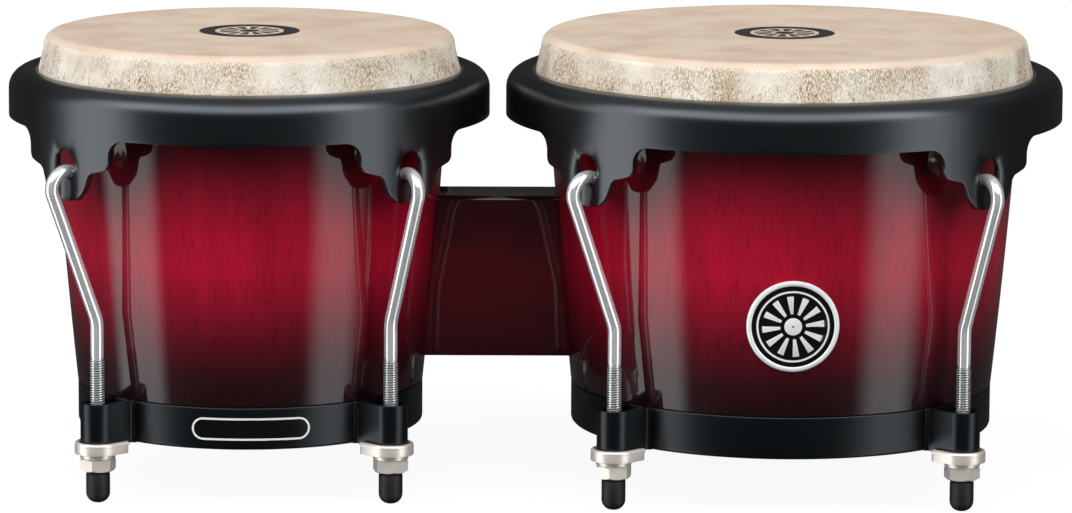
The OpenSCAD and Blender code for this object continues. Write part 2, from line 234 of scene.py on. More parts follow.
paper, tree, shader = new_material("matt_white_paper")
seen = add(tree, "ShaderNodeLightPath").outputs["Is Camera Ray"]
glow = add(tree, "ShaderNodeMath", {0: seen, 1: FLOOR_GLOW}, operation="MULTIPLY").outputs[0]
feed(shader, {
    "Base Color": hex_colour("#505050"), "Roughness": 0.9,
    "Emission Color": hex_colour("#ffffff"), "Emission Strength": glow,
})

floor_mesh = bpy.data.meshes.new("white_sweep")
corners = [(x * FLOOR_REACH, y * FLOOR_REACH, 0.0) for x, y in ((-1, -1), (1, -1), (1, 1), (-1, 1))]
floor_mesh.from_pydata(corners, [], [(0, 1, 2, 3)])
floor_mesh.materials.append(paper)
floor = bpy.data.objects.new("white_sweep", floor_mesh)
floor.visible_glossy = False
bpy.context.scene.collection.objects.link(floor)
print("floor is", 2 * FLOOR_REACH, "m square")

# %% [markdown]
# The places come from the frame. A drum's axis is the middle of its bottom ring, each rod stands where its
# tuning nut is, and each claw is found from the lowest points of the rim. The shell's side is a gentle
# curve, so its radius is read off the CAD shell at several heights, on the side away from the block where
# nothing is drilled.

# %% Measure the drums
CORNERS = ["front_left", "front_right", "rear_right", "rear_left"]


def measure_side(name, axis, low, high, least):
    """The shell's outer radius as (height, radius) points, on the side that faces away from the block."""
    lean = -1 if name == "macho" else 1
    levels = {}
    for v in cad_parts[name + "_shell"].data.vertices:
        across = Vector((v.co.x - axis.x, v.co.y))
        if lean * across.x > 0.5 * across.length:
            level = round(v.co.z, 5)
            levels[level] = max(levels.get(level, 0.0), across.length)
    return [(z, r) for z, r in sorted(levels.items()) if low < z < high and r > least]


def measure_claws(name, axis, tip):
    """The angle of each claw, from the middle of the rim's lowest points in its quarter."""
    tips = [v.co.xy - axis.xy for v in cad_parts[name + "_rim"].data.vertices if v.co.z < tip + 0.3 * MM]
    claws = []
    for side, depth in ((-1, -1), (1, -1), (1, 1), (-1, 1)):
        near = [t for t in tips if t.x * side > 0 and t.y * depth > 0]
        middle = sum(near, Vector((0.0, 0.0))) / len(near)
        claws.append(math.atan2(middle.y, middle.x))
    return claws


def measure(name):
    """Sizes and places of one drum, in metres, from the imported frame."""
    ring_low, ring_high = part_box(name + "_bottom_ring")
    rim_low, rim_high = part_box(name + "_rim")
    head_low, head_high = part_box(name + "_head")
    shell_low, shell_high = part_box(name + "_shell")
    axis = (ring_low + ring_high) / 2
    nuts = [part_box(f"{name}_nut_{corner}") for corner in CORNERS]
    turns = [((low + high) / 2).xy - axis.xy for low, high in nuts]
    return {
        "name": name, "x": axis.x,
        "side": measure_side(name, axis, ring_high.z, shell_high.z - 3 * MM, 0.9 * (ring_high.x - axis.x)),
        "turns": [math.atan2(t.y, t.x) for t in turns], "rod": turns[0].length,
        "claws": measure_claws(name, axis, rim_low.z), "claw_tip": rim_low.z,
        "ring": (ring_high.x - ring_low.x) / 2, "ring_low": ring_low.z, "ring_high": ring_high.z,
        "rim": (rim_high.y - rim_low.y) / 2, "rim_top": rim_high.z,
        "head": (head_high.x - head_low.x) / 2 - 0.3 * MM, "head_top": head_high.z,
        "shell_low": shell_low.z, "shell_top": shell_high.z,
    }


def side_radius(drum, z):
    """The shell's outer radius at height z: a quadratic through three of its measured points."""
    points = drum["side"]
    (z0, r0), (z1, r1), (z2, r2) = points[0], points[len(points) // 2], points[-1]
    return (
        r0 * (z - z1) * (z - z2) / ((z0 - z1) * (z0 - z2))
        + r1 * (z - z0) * (z - z2) / ((z1 - z0) * (z1 - z2))
        + r2 * (z - z0) * (z - z1) / ((z2 - z0) * (z2 - z1))
    )


DRUMS = [measure("macho"), measure("hembra")]
for drum in DRUMS:
    print(drum["name"], "head and rim", [round(2 * drum[k] / MM, 1) for k in ("head", "rim")], "mm across")
    print("  shell radius", [round(side_radius(drum, z * MM) / MM, 1) for z in (42, 87, 180)], "mm")
    print("  claws at", [round(math.degrees(a), 1) for a in drum["claws"]], "degrees")

# %% [markdown]
# Most of a drum is turned or pressed round, so the main tool is a lathe: a profile of (radius, height)
# points spun about the drum's axis. Whatever way a piece is drawn, it ends the same: it is smoothed, its
# real edges are kept crisp, and it is told which body it rides on and which finish it wears.

# %% Lathe and finish
def finish_piece(name, bm, body, materials, sharp=40.0):
    """Turns a bmesh into a smooth piece with creases over sharp degrees, riding on body, wearing materials.
    """
    bmesh.ops.recalc_face_normals(bm, faces=bm.faces)
    limit = math.radians(sharp)
    for face in bm.faces:
        face.smooth = True
    for edge in bm.edges:
        edge.smooth = len(edge.link_faces) != 2 or edge.calc_face_angle(0.0) < limit
    mesh = bpy.data.meshes.new(name)
    bm.to_mesh(mesh)
    bm.free()
    for material in materials:
        mesh.materials.append(material)
    piece = bpy.data.objects.new(name, mesh)
    bpy.context.scene.collection.objects.link(piece)
    if body:
        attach(piece, body)
    return piece


def lathe(bm, profile, x, segments=160, closed=True, tags=None, wobble=None):
    """Spins (radius, height) points about the upright axis at x. tags gives each stretch's material index."""
    rings = []
    for r, z in profile:
        if r < 1e-7:
            rings.append([bm.verts.new((x, 0, z))] * segments)
            continue
        ring = []
        for k in range(segments):
            a = 2 * math.pi * k / segments
            rr, zz = wobble(r, z, a) if wobble else (r, z)
            ring.append(bm.verts.new((x + rr * math.cos(a), rr * math.sin(a), zz)))
        rings.append(ring)
    spans = len(rings) if closed else len(rings) - 1
    for i in range(spans):
        one, two = rings[i], rings[(i + 1) % len(rings)]
        for k in range(segments):
            n = (k + 1) % segments
            corners = [one[k], one[n], two[n], two[k]]
            corners = [v for j, v in enumerate(corners) if v not in corners[:j]]
            if len(corners) > 2:
                face = bm.faces.new(corners)
                face.material_index = tags[i] if tags else 0
    return rings


washer = bmesh.new()
lathe(washer, [(1, 0), (2, 0), (2, 1), (1, 1)], 0.0, 24)
print("a lathe trial has", len(washer.faces), "faces")
washer.free()

# %% [markdown]
# Real edges are never knife sharp, so one helper rounds a profile's corners. Bent strap and washers are
# prisms: they are drawn from above and given height, and then their edges are bevelled. Each is drawn about
# its rod, with +X pointing away from the drum, and a matrix puts it at its corner.

# %% Outlines and prisms
def rounded(points, radius, steps=4, closed=True):
    """The outline with each corner rounded. A point is (x, y), or (x, y, its own radius)."""
    result = []
    count = len(points)
    for i, point in enumerate(points):
        here = Vector(point[:2])
        r = point[2] if len(point) > 2 else radius
        if r <= 0 or (not closed and i in (0, count - 1)):
            result.append(tuple(here))
            continue
        before = Vector(points[i - 1][:2]) - here
        after = Vector(points[(i + 1) % count][:2]) - here
        half = before.angle(after) / 2
        cut = min(r / math.tan(half), 0.49 * before.length, 0.49 * after.length)
        start, end = here + cut * before.normalized(), here + cut * after.normalized()
        for k in range(steps + 1):
            t = k / steps
            result.append(tuple((1 - t) ** 2 * start + 2 * t * (1 - t) * here + t ** 2 * end))
    return result


def arc(cx, cy, r, start, end, steps):
    """Points of an arc, with angles in degrees."""
    angles = [math.radians(start + (end - start) * i / steps) for i in range(steps + 1)]
    return [(cx + r * math.cos(a), cy + r * math.sin(a)) for a in angles]


def at_height(edges, z):
    """Those of the edges that lie flat at height z."""
    return [e for e in edges if all(abs(v.co.z - z) < 1e-7 for v in e.verts)]


def prism(bm, outline, holes, low, high, edge=0.4 * MM, place=None, foot_edge=None):
    """An upright prism on outline with holes, from low to high, its top and bottom edges bevelled."""
    fresh = []
    for loop in [outline, *holes]:
        verts = [bm.verts.new((px, py, low)) for px, py in loop]
        fresh += [bm.edges.new((verts[i], verts[(i + 1) % len(verts)])) for i in range(len(verts))]
    filled = bmesh.ops.triangle_fill(bm, edges=fresh, use_beauty=True)
    faces = [g for g in filled["geom"] if isinstance(g, bmesh.types.BMFace)]
    grown = bmesh.ops.extrude_face_region(bm, geom=faces)["geom"]
    top = [g for g in grown if isinstance(g, bmesh.types.BMVert)]
    bmesh.ops.translate(bm, verts=top, vec=(0, 0, high - low))
    verts = {v for f in faces for v in f.verts} | set(top)
    sharp = [e for e in {e for v in verts for e in v.link_edges}
             if len(e.link_faces) == 2 and e.calc_face_angle(0.0) > 1.2]
    ends = [(at_height(sharp, low), foot_edge or edge), (at_height(sharp, high), edge)]
    for group, size in ends:
        out = bmesh.ops.bevel(
            bm, geom=group, offset=size, segments=4, profile=0.5, affect="EDGES", clamp_overlap=True)
        verts |= set(out["verts"])
    if place:
        bmesh.ops.transform(bm, matrix=place, verts=[v for v in verts if v.is_valid])


def corner_place(drum, k):
    """Matrix that puts a piece drawn about the rod, with +X pointing away from the drum, at corner k."""
    turned = Matrix.Translation((drum["x"], 0, 0)) @ Matrix.Rotation(drum["turns"][k], 4, "Z")
    return turned @ Matrix.Translation((drum["rod"], 0, 0))


print("a rounded square has", len(rounded([(0, 0), (4, 0), (4, 4), (0, 4)], 1.0)), "points")

# %% [markdown]
# The shells and block are sprayed with a tinted wine-red lacquer and polished to a mirror. The colour is
# deeper towards both ends of a shell, as a sunburst is sprayed, and the darkest band at the top, just under
# the rim, is also painted shade from the rim, so a ramp runs up the height. Fine pores show as short upright
# streaks under the clear coat: the noise is squeezed to about 1 mm across and drawn out to 28 mm along.

# %% Lacquered wood
def grain(tree, across, along, axis, detail=4.0):
    """Streaky noise: across and along in mm, axis is the place (0, 1 or 2) of the grain's direction."""
    scale = [per_mm(across)] * 3
    scale[axis] = per_mm(along)
    place = add(tree, "ShaderNodeTexCoord").outputs["Object"]
    moved = add(tree, "ShaderNodeMapping", {"Vector": place, "Scale": tuple(scale)}).outputs[0]
    return add(tree, "ShaderNodeTexNoise", {"Vector": moved, "Scale": 1.0, "Detail": detail}).outputs[0]


def lacquer(name, axis, stops, low, high, coat_rough):
    """Glossy tinted lacquer on wood with its grain along axis, its colour a ramp of height in mm."""
    made, tree, shader = new_material(name)
    place = add(tree, "ShaderNodeTexCoord").outputs["Object"]
    height = add(tree, "ShaderNodeSeparateXYZ", {0: place}).outputs["Z"]
    part = add(tree, "ShaderNodeMapRange", {"Value": height, "From Min": low * MM, "From Max": high * MM})
    colour = add(tree, "ShaderNodeValToRGB", {0: part.outputs[0]}, stops).outputs[0]
    pores = grain(tree, 0.9, 28.0, axis)
    cloud = grain(tree, 14.0, 90.0, axis, 2.0)
    depth = add(tree, "ShaderNodeValToRGB", {0: pores}, [(0.30, "#d0d0d0"), (0.50, "#ffffff")]).outputs[0]
    shade = add(tree, "ShaderNodeValToRGB", {0: cloud}, [(0.25, "#d8d8d8"), (0.75, "#ffffff")]).outputs[0]
    pored = add(tree, "ShaderNodeMix", {0: 0.8, 6: colour, 7: depth}, **MULTIPLY).outputs[2]
    clouded = add(tree, "ShaderNodeMix", {0: 1.0, 6: pored, 7: shade}, **MULTIPLY).outputs[2]
    relief = add(tree, "ShaderNodeBump", {"Height": pores, "Strength": 0.05, "Distance": 0.1 * MM}).outputs[0]
    feed(shader, {
        "Base Color": clouded, "Roughness": 0.42, "Specular IOR Level": 0.1, "Normal": relief,
        "Coat Weight": 1.0, "Coat Roughness": coat_rough,
    })
    return made


# The shell's colour up its height: a sprayed sunburst at both ends, with painted shade from the rim in the
# top stops.
WINE = [
    (0.00, "#17070a"), (0.13, "#300a12"), (0.25, "#5c0b1a"), (0.38, "#8d0e27"), (0.50, "#ad102f"),
    (0.60, "#aa0f2d"), (0.71, "#960f29"), (0.80, "#7e0e23"), (0.92, "#620d1a"), (1.00, "#3c0910"),
]
BLOCK_WINE = [(0.0, "#3a0b14"), (0.5, "#62101d"), (1.0, "#3a0c15")]
wine_lacquer = lacquer("wine_lacquered_hardwood", 2, WINE, 40, 160, 0.03)
block_lacquer = lacquer("dark_wine_lacquered_block", 0, BLOCK_WINE, 53, 121, 0.08)
print("lacquers:", wine_lacquer.name, block_lacquer.name)

# %% [markdown]
# Inside, the wood is only sealed, so it stays brown and silky with open grain. A little bump of soft lumps
# does for several finishes below, such as orange peel in powder and the skin of moulded rubber, so it is a
# helper.

# %% Sealed wood
def peel(tree, size, strength, depth, detail=2.0):
    """A bump of soft lumps, size in mm across and depth in mm high."""
    place = add(tree, "ShaderNodeTexCoord").outputs["Object"]
    lumps = add(tree, "ShaderNodeTexNoise", {"Vector": place, "Scale": per_mm(size), "Detail": detail})
    bump = {"Height": lumps.outputs[0], "Strength": strength, "Distance": depth * MM}
    return add(tree, "ShaderNodeBump", bump).outputs[0]


sealed_wood, tree, shader = new_material("sealed_inner_wood")
streaks = [(0.25, "#6e4a2e"), (0.5, "#8f6642"), (0.8, "#a67c55")]
feed(shader, {
    "Base Color": add(tree, "ShaderNodeValToRGB", {0: grain(tree, 1.2, 40.0, 2)}, streaks).outputs[0],
    "Roughness": 0.5, "Normal": peel(tree, 0.8, 0.3, 0.08),
})
print("inside:", sealed_wood.name)

# %% [markdown]
# Each shell is turned from glued staves, so it is a lathe piece: a wall 9 mm thick, its outside the slow
# curve of the CAD, a rounded bearing edge for the skin at the top, and a step at the foot that drops into
# the steel ring. The wall has two flat seats inside, bored for the bolts, and these are cut with real
# cylinders.

# %% Shells
WALL = 9.0 * MM
BEARING = 3.3 * MM
RING_STEP = 2.6 * MM
SEAT_RADIUS = 9.0 * MM
SEAT_DEPTH = 1.3 * MM
BOLT_HOLE = 4.4 * MM


def cut_away(piece, cutter):
    """Cuts the cutter mesh out of the piece, for good."""
    cutter_object = bpy.data.objects.new("cutter", bpy.data.meshes.new("cutter"))
    cutter.to_mesh(cutter_object.data)
    cutter.free()
    bpy.context.scene.collection.objects.link(cutter_object)
    tool = piece.modifiers.new("cut", "BOOLEAN")
    tool.object = cutter_object
    tool.solver = "EXACT"
    bpy.context.view_layer.update()
    solid = bpy.data.meshes.new_from_object(piece.evaluated_get(bpy.context.evaluated_depsgraph_get()))
    piece.modifiers.remove(tool)
    piece.data = solid
    bpy.data.objects.remove(cutter_object)


def bolt_places():
    """Height of each bolt, from the CAD bolts."""
    boxes = [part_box(name) for name in ("lower_block_bolt", "upper_block_bolt")]
    return [(low.z + high.z) / 2 for low, high in boxes]


def bore_shell(drum, piece):
    """Cuts the bolts' flat seats and holes in the side of the shell that faces the block."""
    toward = 1 if drum["name"] == "macho" else -1
    cutter = bmesh.new()
    for z in bolt_places():
        seat = side_radius(drum, z) - WALL + SEAT_DEPTH
        for r, near, far in ((SEAT_RADIUS, seat - 8 * MM, seat), (BOLT_HOLE, seat - 8 * MM, seat + 20 * MM)):
            middle = Matrix.Translation((drum["x"] + toward * (near + far) / 2, 0, z))
            bmesh.ops.create_cone(
                cutter, cap_ends=True, segments=48, radius1=r, radius2=r, depth=far - near,
                matrix=middle @ Matrix.Rotation(math.pi / 2, 4, "Y"))
    cut_away(piece, cutter)


def make_shell(drum):
    """The turned shell, lacquered outside and sealed inside."""
    top, low = drum["shell_top"], drum["shell_low"]
    step = drum["ring_high"] + 0.1 * MM
    inset = drum["ring"] - RING_STEP
    out = [(side_radius(drum, z), z) for z in [
        step + 0.4 * MM + (top - BEARING - step) * i / 44 for i in range(45)]]
    corner = out[-1][0] - BEARING
    crown = arc(corner, out[-1][1], BEARING, 10, 90, 8)
    inner = [(side_radius(drum, z) - WALL, z) for z in [
        top - 14 * MM + (low - top + 14 * MM) * i / 20 for i in range(21)]]
    profile = [(inset, low), (inset, step), (out[0][0] - 0.4 * MM, step), *out, *crown]
    lacquered = range(2, len(profile))
    profile += [(corner - 1.0 * MM, crown[-1][1]), (side_radius(drum, top) - WALL, top - 7 * MM), *inner]
    bm = bmesh.new()
    lathe(bm, profile, drum["x"], 192, tags=[0 if i in lacquered else 1 for i in range(len(profile))])
    name = drum["name"] + "_wood_shell"
    piece = finish_piece(name, bm, "root", [wine_lacquer, sealed_wood], 30)
    bore_shell(drum, piece)
    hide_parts(drum["name"] + "_shell")
    return piece


for drum in DRUMS:
    shell = make_shell(drum)
    print(shell.name, len(shell.data.vertices), "points")

# %% [markdown]
# The block between the drums is one piece of hardwood, bandsawn and sanded so that its ends fit the round
# shells like saddles. Its long edges are rounded 2 mm. It is built in rows and columns, and each end
# follows its shell.

# %% Centre block
BLOCK_ROUND = 2.0 * MM
SAW_EASE = 0.5 * MM


def block_rows(low, high):
    """The block's rows as (height, half depth), from its rounded lower edge to its rounded upper edge."""
    half = (high.y - low.y) / 2
    turn = [math.radians(90 * i / 6) for i in range(7)]
    lower = [(low.z + BLOCK_ROUND * (1 - math.cos(a)), half - BLOCK_ROUND * (1 - math.sin(a))) for a in turn]
    face = [(low.z + BLOCK_ROUND + (high.z - low.z - 2 * BLOCK_ROUND) * i / 16, half) for i in range(1, 16)]
    return lower + face + [(low.z + high.z - z, w) for z, w in reversed(lower)]


def make_block():
    """The block as two saddle grids, one against each shell, joined by its four long faces."""
    rows = block_rows(*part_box("centre_block"))
    columns = [math.sin(math.radians(10 * i)) for i in range(-9, 10)]
    bm = bmesh.new()
    ends = []
    for drum, toward in ((DRUMS[0], 1), (DRUMS[1], -1)):
        grid = []
        for z, w in rows:
            reach = side_radius(drum, z) + 0.1 * MM
            spots = [(drum["x"] + toward * math.sqrt(reach ** 2 - (c * w) ** 2), c * w, z) for c in columns]
            grid.append([bm.verts.new(spot) for spot in spots])
        for one, two in zip(grid, grid[1:]):
            for j in range(len(columns) - 1):
                bm.faces.new((one[j], one[j + 1], two[j + 1], two[j]))
        ends.append(grid)
    one, two = ends
    last = len(columns) - 1
    for j in (0, last):
        for i in range(len(rows) - 1):
            bm.faces.new((one[i][j], one[i + 1][j], two[i + 1][j], two[i][j]))
    for i in (0, len(rows) - 1):
        for j in range(last):
            bm.faces.new((one[i][j], one[i][j + 1], two[i][j + 1], two[i][j]))
    bmesh.ops.recalc_face_normals(bm, faces=bm.faces)
    saw_cuts = [e for e in bm.edges if e.calc_face_angle(0.0) > 0.9]
    bmesh.ops.bevel(
        bm, geom=saw_cuts, offset=SAW_EASE, segments=2, profile=0.5, affect="EDGES", clamp_overlap=True)
    piece = finish_piece("wooden_centre_block", bm, "root", [block_lacquer], 50)
    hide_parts("centre_block")
    return piece


block = make_block()
print(block.name, [round(v / MM, 1) for v in block.dimensions])

# %% [markdown]
# The black steel comes in two finishes. Rims are powder coated: the powder melts into a satin skin with a
# faint orange peel about a millimetre across, and its thick resin mirrors the lights well. Rings and lugs
# are dipped and stoved, with a thinner and duller film. Both look a little blue in the light, so the
# highlight is tinted.

# %% Black steel
BLACK_STEEL = {
    "Base Color": hex_colour("#05080a"), "Roughness": 0.30, "Specular Tint": hex_colour("#eef7ff"),
}
powder_coat, tree, shader = new_material("satin_black_powder_coated_steel")
feed(shader, {**BLACK_STEEL, "IOR": 1.55, "Specular IOR Level": 1.0, "Normal": peel(tree, 1.1, 0.25, 0.03)})
stoved_enamel, tree, shader = new_material("stoved_black_enamelled_steel")
feed(shader, {**BLACK_STEEL, "Normal": peel(tree, 1.1, 0.25, 0.03)})
print("black steel:", powder_coat.name, stoved_enamel.name)

# %% [markdown]
# A pressed steel ring sits under each shell: an upright band with a flange turned in at the bottom, its
# outer bend about 2 mm. Its section is drawn with rounded corners and spun on the lathe.

# %% Bottom rings
RING_STEEL = 2.5 * MM
FLANGE = 9.0 * MM


def make_ring(drum):
    """The ring under one shell."""
    r, low, high = drum["ring"], drum["ring_low"], drum["ring_high"]
    profile = rounded([
        (r - FLANGE, low, 0.8 * MM), (r, low, 1.8 * MM),
        (r, high, 0.8 * MM), (r - RING_STEEL, high, 0.8 * MM),
        (r - RING_STEEL, low + RING_STEEL, 0.5 * MM), (r - FLANGE, low + RING_STEEL, 0.8 * MM)], 0, 5)
    bm = bmesh.new()
    lathe(bm, profile, drum["x"], 192)
    piece = finish_piece(drum["name"] + "_steel_ring", bm, "root", [stoved_enamel], 50)
    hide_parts(drum["name"] + "_bottom_ring")
    return piece


for drum in DRUMS:
    print(make_ring(drum).name, round(2 * drum["ring"] / MM, 1), "mm across")

# %% [markdown]
# Four straps are bent into loops round the rods and welded to each ring. A loop is drawn from above, half
# of it and then its mirror image, with the weld's fillet flaring at its two feet, and is given the ring's
# height.

# %% Lugs
STRAP = 2.5 * MM
STRAP_HALF = 7.1 * MM
WELD = 1.6 * MM


def lug_outline(drum):
    """The loop seen from above, with the rod at the origin and the ring towards -X."""
    def foot(y):
        return math.sqrt((drum["ring"] - 0.4 * MM) ** 2 - y ** 2) - drum["rod"]

    inner = STRAP_HALF - STRAP
    flare = [math.radians(15 * i) for i in range(7)]
    half = arc(0, 0, STRAP_HALF, 0, 90, 12)
    half += [(foot(STRAP_HALF) + 0.4 * MM + WELD * (1 - math.sin(a)), STRAP_HALF + WELD * (1 - math.cos(a)))
             for a in flare]
    half += [(foot(STRAP_HALF + WELD), STRAP_HALF + WELD), (foot(inner), inner)]
    half += list(reversed(arc(0, 0, inner, 6, 90, 12)))
    return half + [(x, -y) for x, y in reversed(half[1:])]


def make_lugs(drum):
    """The four loops on one ring, as one piece."""
    outline = lug_outline(drum)
    bm = bmesh.new()
    for k in range(4):
        prism(bm, outline, [], drum["ring_low"], drum["ring_high"], 0.5 * MM, corner_place(drum, k))
    piece = finish_piece(drum["name"] + "_strap_lugs", bm, "root", [stoved_enamel])
    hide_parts(drum["name"] + "_lugs")
    return piece


for drum in DRUMS:
    print(make_lugs(drum).name, "reach", round((drum["rod"] + STRAP_HALF - drum["ring"]) / MM, 1), "mm")

# %% [markdown]
# The rim is the piece that shows most. It is one pressed steel hoop, 3 mm thick: a lip turned in over the
# skin, a rounded shoulder, an upright band, and four claws that hang from it. A claw has wide shoulders and
# a tongue, with an upright slot for the rod's hook and a shallow groove pressed down its middle. The claw
# comes first, as columns of points: the columns follow its lower edge, and the rows in them bend round the
# slot.

# %% Claws
# in mm, across the claw and over its tip
CLAW_HEIGHT = 27.2
CLAW_REACH = 32.0
SLOT_HALF = 5.3
SLOT_LOW = 14.3
SLOT_HIGH = 16.5
TONGUE = (13.0, 9.5)
GROOVE_DEPTH = 2.4
GROOVE_HALF = 5.6


def claw_edge():
    """Half of a claw's lower edge as (across, height over the tip) in mm, from the band to the middle."""
    wide, deep = TONGUE
    edge = arc(32.0, 20.2, 7.0, 90, 174, 10)
    edge += arc(21.5, 18.0, 3.5, -10, -78, 8)
    edge += arc(18.4, 8.6, 4.9, 92, 166, 9)
    tongue = [math.radians(a) for a in range(10, 62, 7)]
    edge += [(wide * math.cos(a), deep * (1 - math.sin(a))) for a in tongue]
    for a in range(0, 91, 15):
        u = SLOT_HALF * math.cos(math.radians(a))
        edge.append((u, deep * (1 - math.sqrt(1 - (u / wide) ** 2))))
    return edge


def claw_rows(u, low):
    """Heights over the tip of one column's points, from the band down, with slot rows at places 3 and 8."""
    blend = min(1.0, max(0.0, (abs(u) - SLOT_HALF) / 6.0))
    blend = blend * blend * (3 - 2 * blend)
    bow = math.sqrt(max(0.0, SLOT_HALF ** 2 - u ** 2))
    upper = (1 - blend) * (SLOT_HIGH + bow) + blend * (low + (CLAW_HEIGHT - low) * 0.66)
    lower = (1 - blend) * (SLOT_LOW - bow) + blend * (low + (CLAW_HEIGHT - low) * 0.33)
    rows = [CLAW_HEIGHT + (upper - CLAW_HEIGHT) * i / 3 for i in range(4)]
    rows += [upper + (lower - upper) * i / 5 for i in range(1, 6)]
    rows += [lower + (low - lower) * i / 5 for i in range(1, 6)]
    return rows


def groove(u, h):
    """How far the claw is pressed in, in mm, across and over the tip."""
    fade = min(1.0, max(0.0, (24.0 - h) / 10.0))
    side = 1.0 / (1.0 + (abs(u) / GROOVE_HALF) ** 6)
    return GROOVE_DEPTH * side * fade * fade * (3 - 2 * fade)


print("half a claw's edge has", len(claw_edge()), "points")

# %% [markdown]
# The whole rim is then one sheet: every column runs from the lip over the shoulder and down the band, and
# at the claws it goes on down the claw, with the faces left out where the slot is. Thickness and softened
# edges are put on last, by modifiers that are then made real, so that the sheet metal is even everywhere.

# %% Rims
RIM_STEEL = 3.0 * MM
RIM_BEND = 8.0 * MM


def rim_crown(drum):
    """The rim's section from the lip over the shoulder and down the band, as (radius, height)."""
    r, top, tip = drum["rim"], drum["rim_top"], drum["claw_tip"]
    shoulder = top - RIM_BEND
    crown = [(r - 12 * MM, top - 1.2 * MM), (r - 11.7 * MM, top - 0.4 * MM)]
    crown += [(r - 11 * MM, top), (r - 9.5 * MM, top), (r - 8 * MM, top)]
    crown += [(r - RIM_BEND + RIM_BEND * math.sin(a), shoulder + RIM_BEND * math.cos(a))
              for a in [math.radians(10 * i) for i in range(1, 10)]]
    return crown + [(r, shoulder + (tip + CLAW_HEIGHT * MM - shoulder) * i / 4) for i in (1, 2, 3)]


def rim_columns(drum):
    """Every column round the rim as (angle, distance across in mm, lowest height over the tip in mm)."""
    half = claw_edge()
    claw = [(-u, h) for u, h in half[:-1]] + [(0.0, half[-1][1])] + [(u, h) for u, h in reversed(half[:-1])]
    columns = []
    for k in range(4):
        here, after = drum["claws"][k], drum["claws"][(k + 1) % 4]
        while after < here:
            after += 2 * math.pi
        columns += [(here, u, h) for u, h in claw]
        start, stop = here + CLAW_REACH * MM / drum["rim"], after - CLAW_REACH * MM / drum["rim"]
        gaps = max(2, round((stop - start) / math.radians(2.0)))
        columns += [(start + (stop - start) * i / gaps, 0.0, CLAW_HEIGHT) for i in range(1, gaps)]
    return columns


def rim_sheet(drum):
    """The rim's outer face as an open sheet of faces that look outward."""
    r, tip, crown = drum["rim"], drum["claw_tip"], rim_crown(drum)
    bm = bmesh.new()
    rails = []
    for middle, u, low in rim_columns(drum):
        angle = middle + u * MM / r
        rows = claw_rows(u, low) if low < CLAW_HEIGHT - 1e-6 else [CLAW_HEIGHT]
        line = crown + [(r - groove(u, h) * MM, tip + h * MM) for h in rows]
        rail = [bm.verts.new((drum["x"] + rr * math.cos(angle), rr * math.sin(angle), z)) for rr, z in line]
        rails.append((u, low, rail))
    slot_rows = range(len(crown) + 3, len(crown) + 8)
    for (u, low, rail), (u2, low2, other) in zip(rails, rails[1:] + rails[:1]):
        by_slot = max(abs(u), abs(u2)) <= SLOT_HALF + 1e-6 and max(low, low2) < 5
        last, last2 = len(rail) - 1, len(other) - 1
        for j in range(max(last, last2)):
            if by_slot and j in slot_rows:
                continue
            corners = [rail[min(j, last)], rail[min(j + 1, last)]]
            corners += [other[min(j + 1, last2)], other[min(j, last2)]]
            corners = [v for n, v in enumerate(corners) if v not in corners[:n]]
            if len(corners) > 2:
                bm.faces.new(corners)
    bmesh.ops.recalc_face_normals(bm, faces=bm.faces)
    axis = Vector((drum["x"], 0, 0))
    outer = max(bm.faces, key=lambda f: (f.calc_center_median() - axis).xy.length)
    if outer.normal.xy.dot((outer.calc_center_median() - axis).xy) < 0:
        bmesh.ops.reverse_faces(bm, faces=bm.faces)
    return bm


def thicken(bm, steel, ease):
    """Gives an open sheet its thickness inwards and softens its edges, for good."""
    sheet = bpy.data.objects.new("open_sheet", bpy.data.meshes.new("open_sheet"))
    bm.to_mesh(sheet.data)
    bpy.context.scene.collection.objects.link(sheet)
    wall = sheet.modifiers.new("steel_thickness", "SOLIDIFY")
    wall.thickness = steel
    wall.offset = -1.0
    soft = sheet.modifiers.new("deburred_edges", "BEVEL")
    soft.width = ease
    soft.segments = 2
    soft.limit_method = "ANGLE"
    soft.angle_limit = math.radians(50)
    bpy.context.view_layer.update()
    solid = bpy.data.meshes.new_from_object(sheet.evaluated_get(bpy.context.evaluated_depsgraph_get()))
    bm.clear()
    bm.from_mesh(solid)
    bpy.data.meshes.remove(sheet.data)
    bpy.data.meshes.remove(solid)


def make_rim(drum):
    """One rim with its four claws."""
    bm = rim_sheet(drum)
    thicken(bm, RIM_STEEL, 0.5 * MM)
    piece = finish_piece(
        drum["name"] + "_claw_rim", bm, drum["name"] + "_rim_set", [powder_coat], 50)
    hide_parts(drum["name"] + "_rim")
    return piece


for drum in DRUMS:
    rim = make_rim(drum)
    print(rim.name, len(rim.data.vertices), "points,", round(rim.dimensions.z / MM, 1), "mm tall")

# %% [markdown]
# The bright metal is plated steel: rods in mirror chrome, nuts and washers in satin nickel, which is
# warmer, and hidden bolts in zinc. A plated skin is never quite even, so the roughness wanders over patches
# some millimetres across. Chrome and nickel are let down a little from full metal, because their own
# microscopic frost scatters some light. The thread's flanks and core wear a darker, duller steel than its
# crests: this is painted shade for the dark gaps between the crests.

# %% Plated steel
def plated(name, colour, rough, spread, size, metallic=1.0):
    """Plated steel: one colour, with its roughness wandering by spread over patches of size mm."""
    made, tree, shader = new_material(name)
    place = add(tree, "ShaderNodeTexCoord").outputs["Object"]
    patches = add(tree, "ShaderNodeTexNoise", {"Vector": place, "Scale": per_mm(size), "Detail": 3.0})
    wander = add(tree, "ShaderNodeMapRange", {
        "Value": patches.outputs[0], "To Min": rough, "To Max": rough + spread})
    feed(shader, {"Base Color": hex_colour(colour), "Metallic": metallic, "Roughness": wander.outputs[0]})
    return made


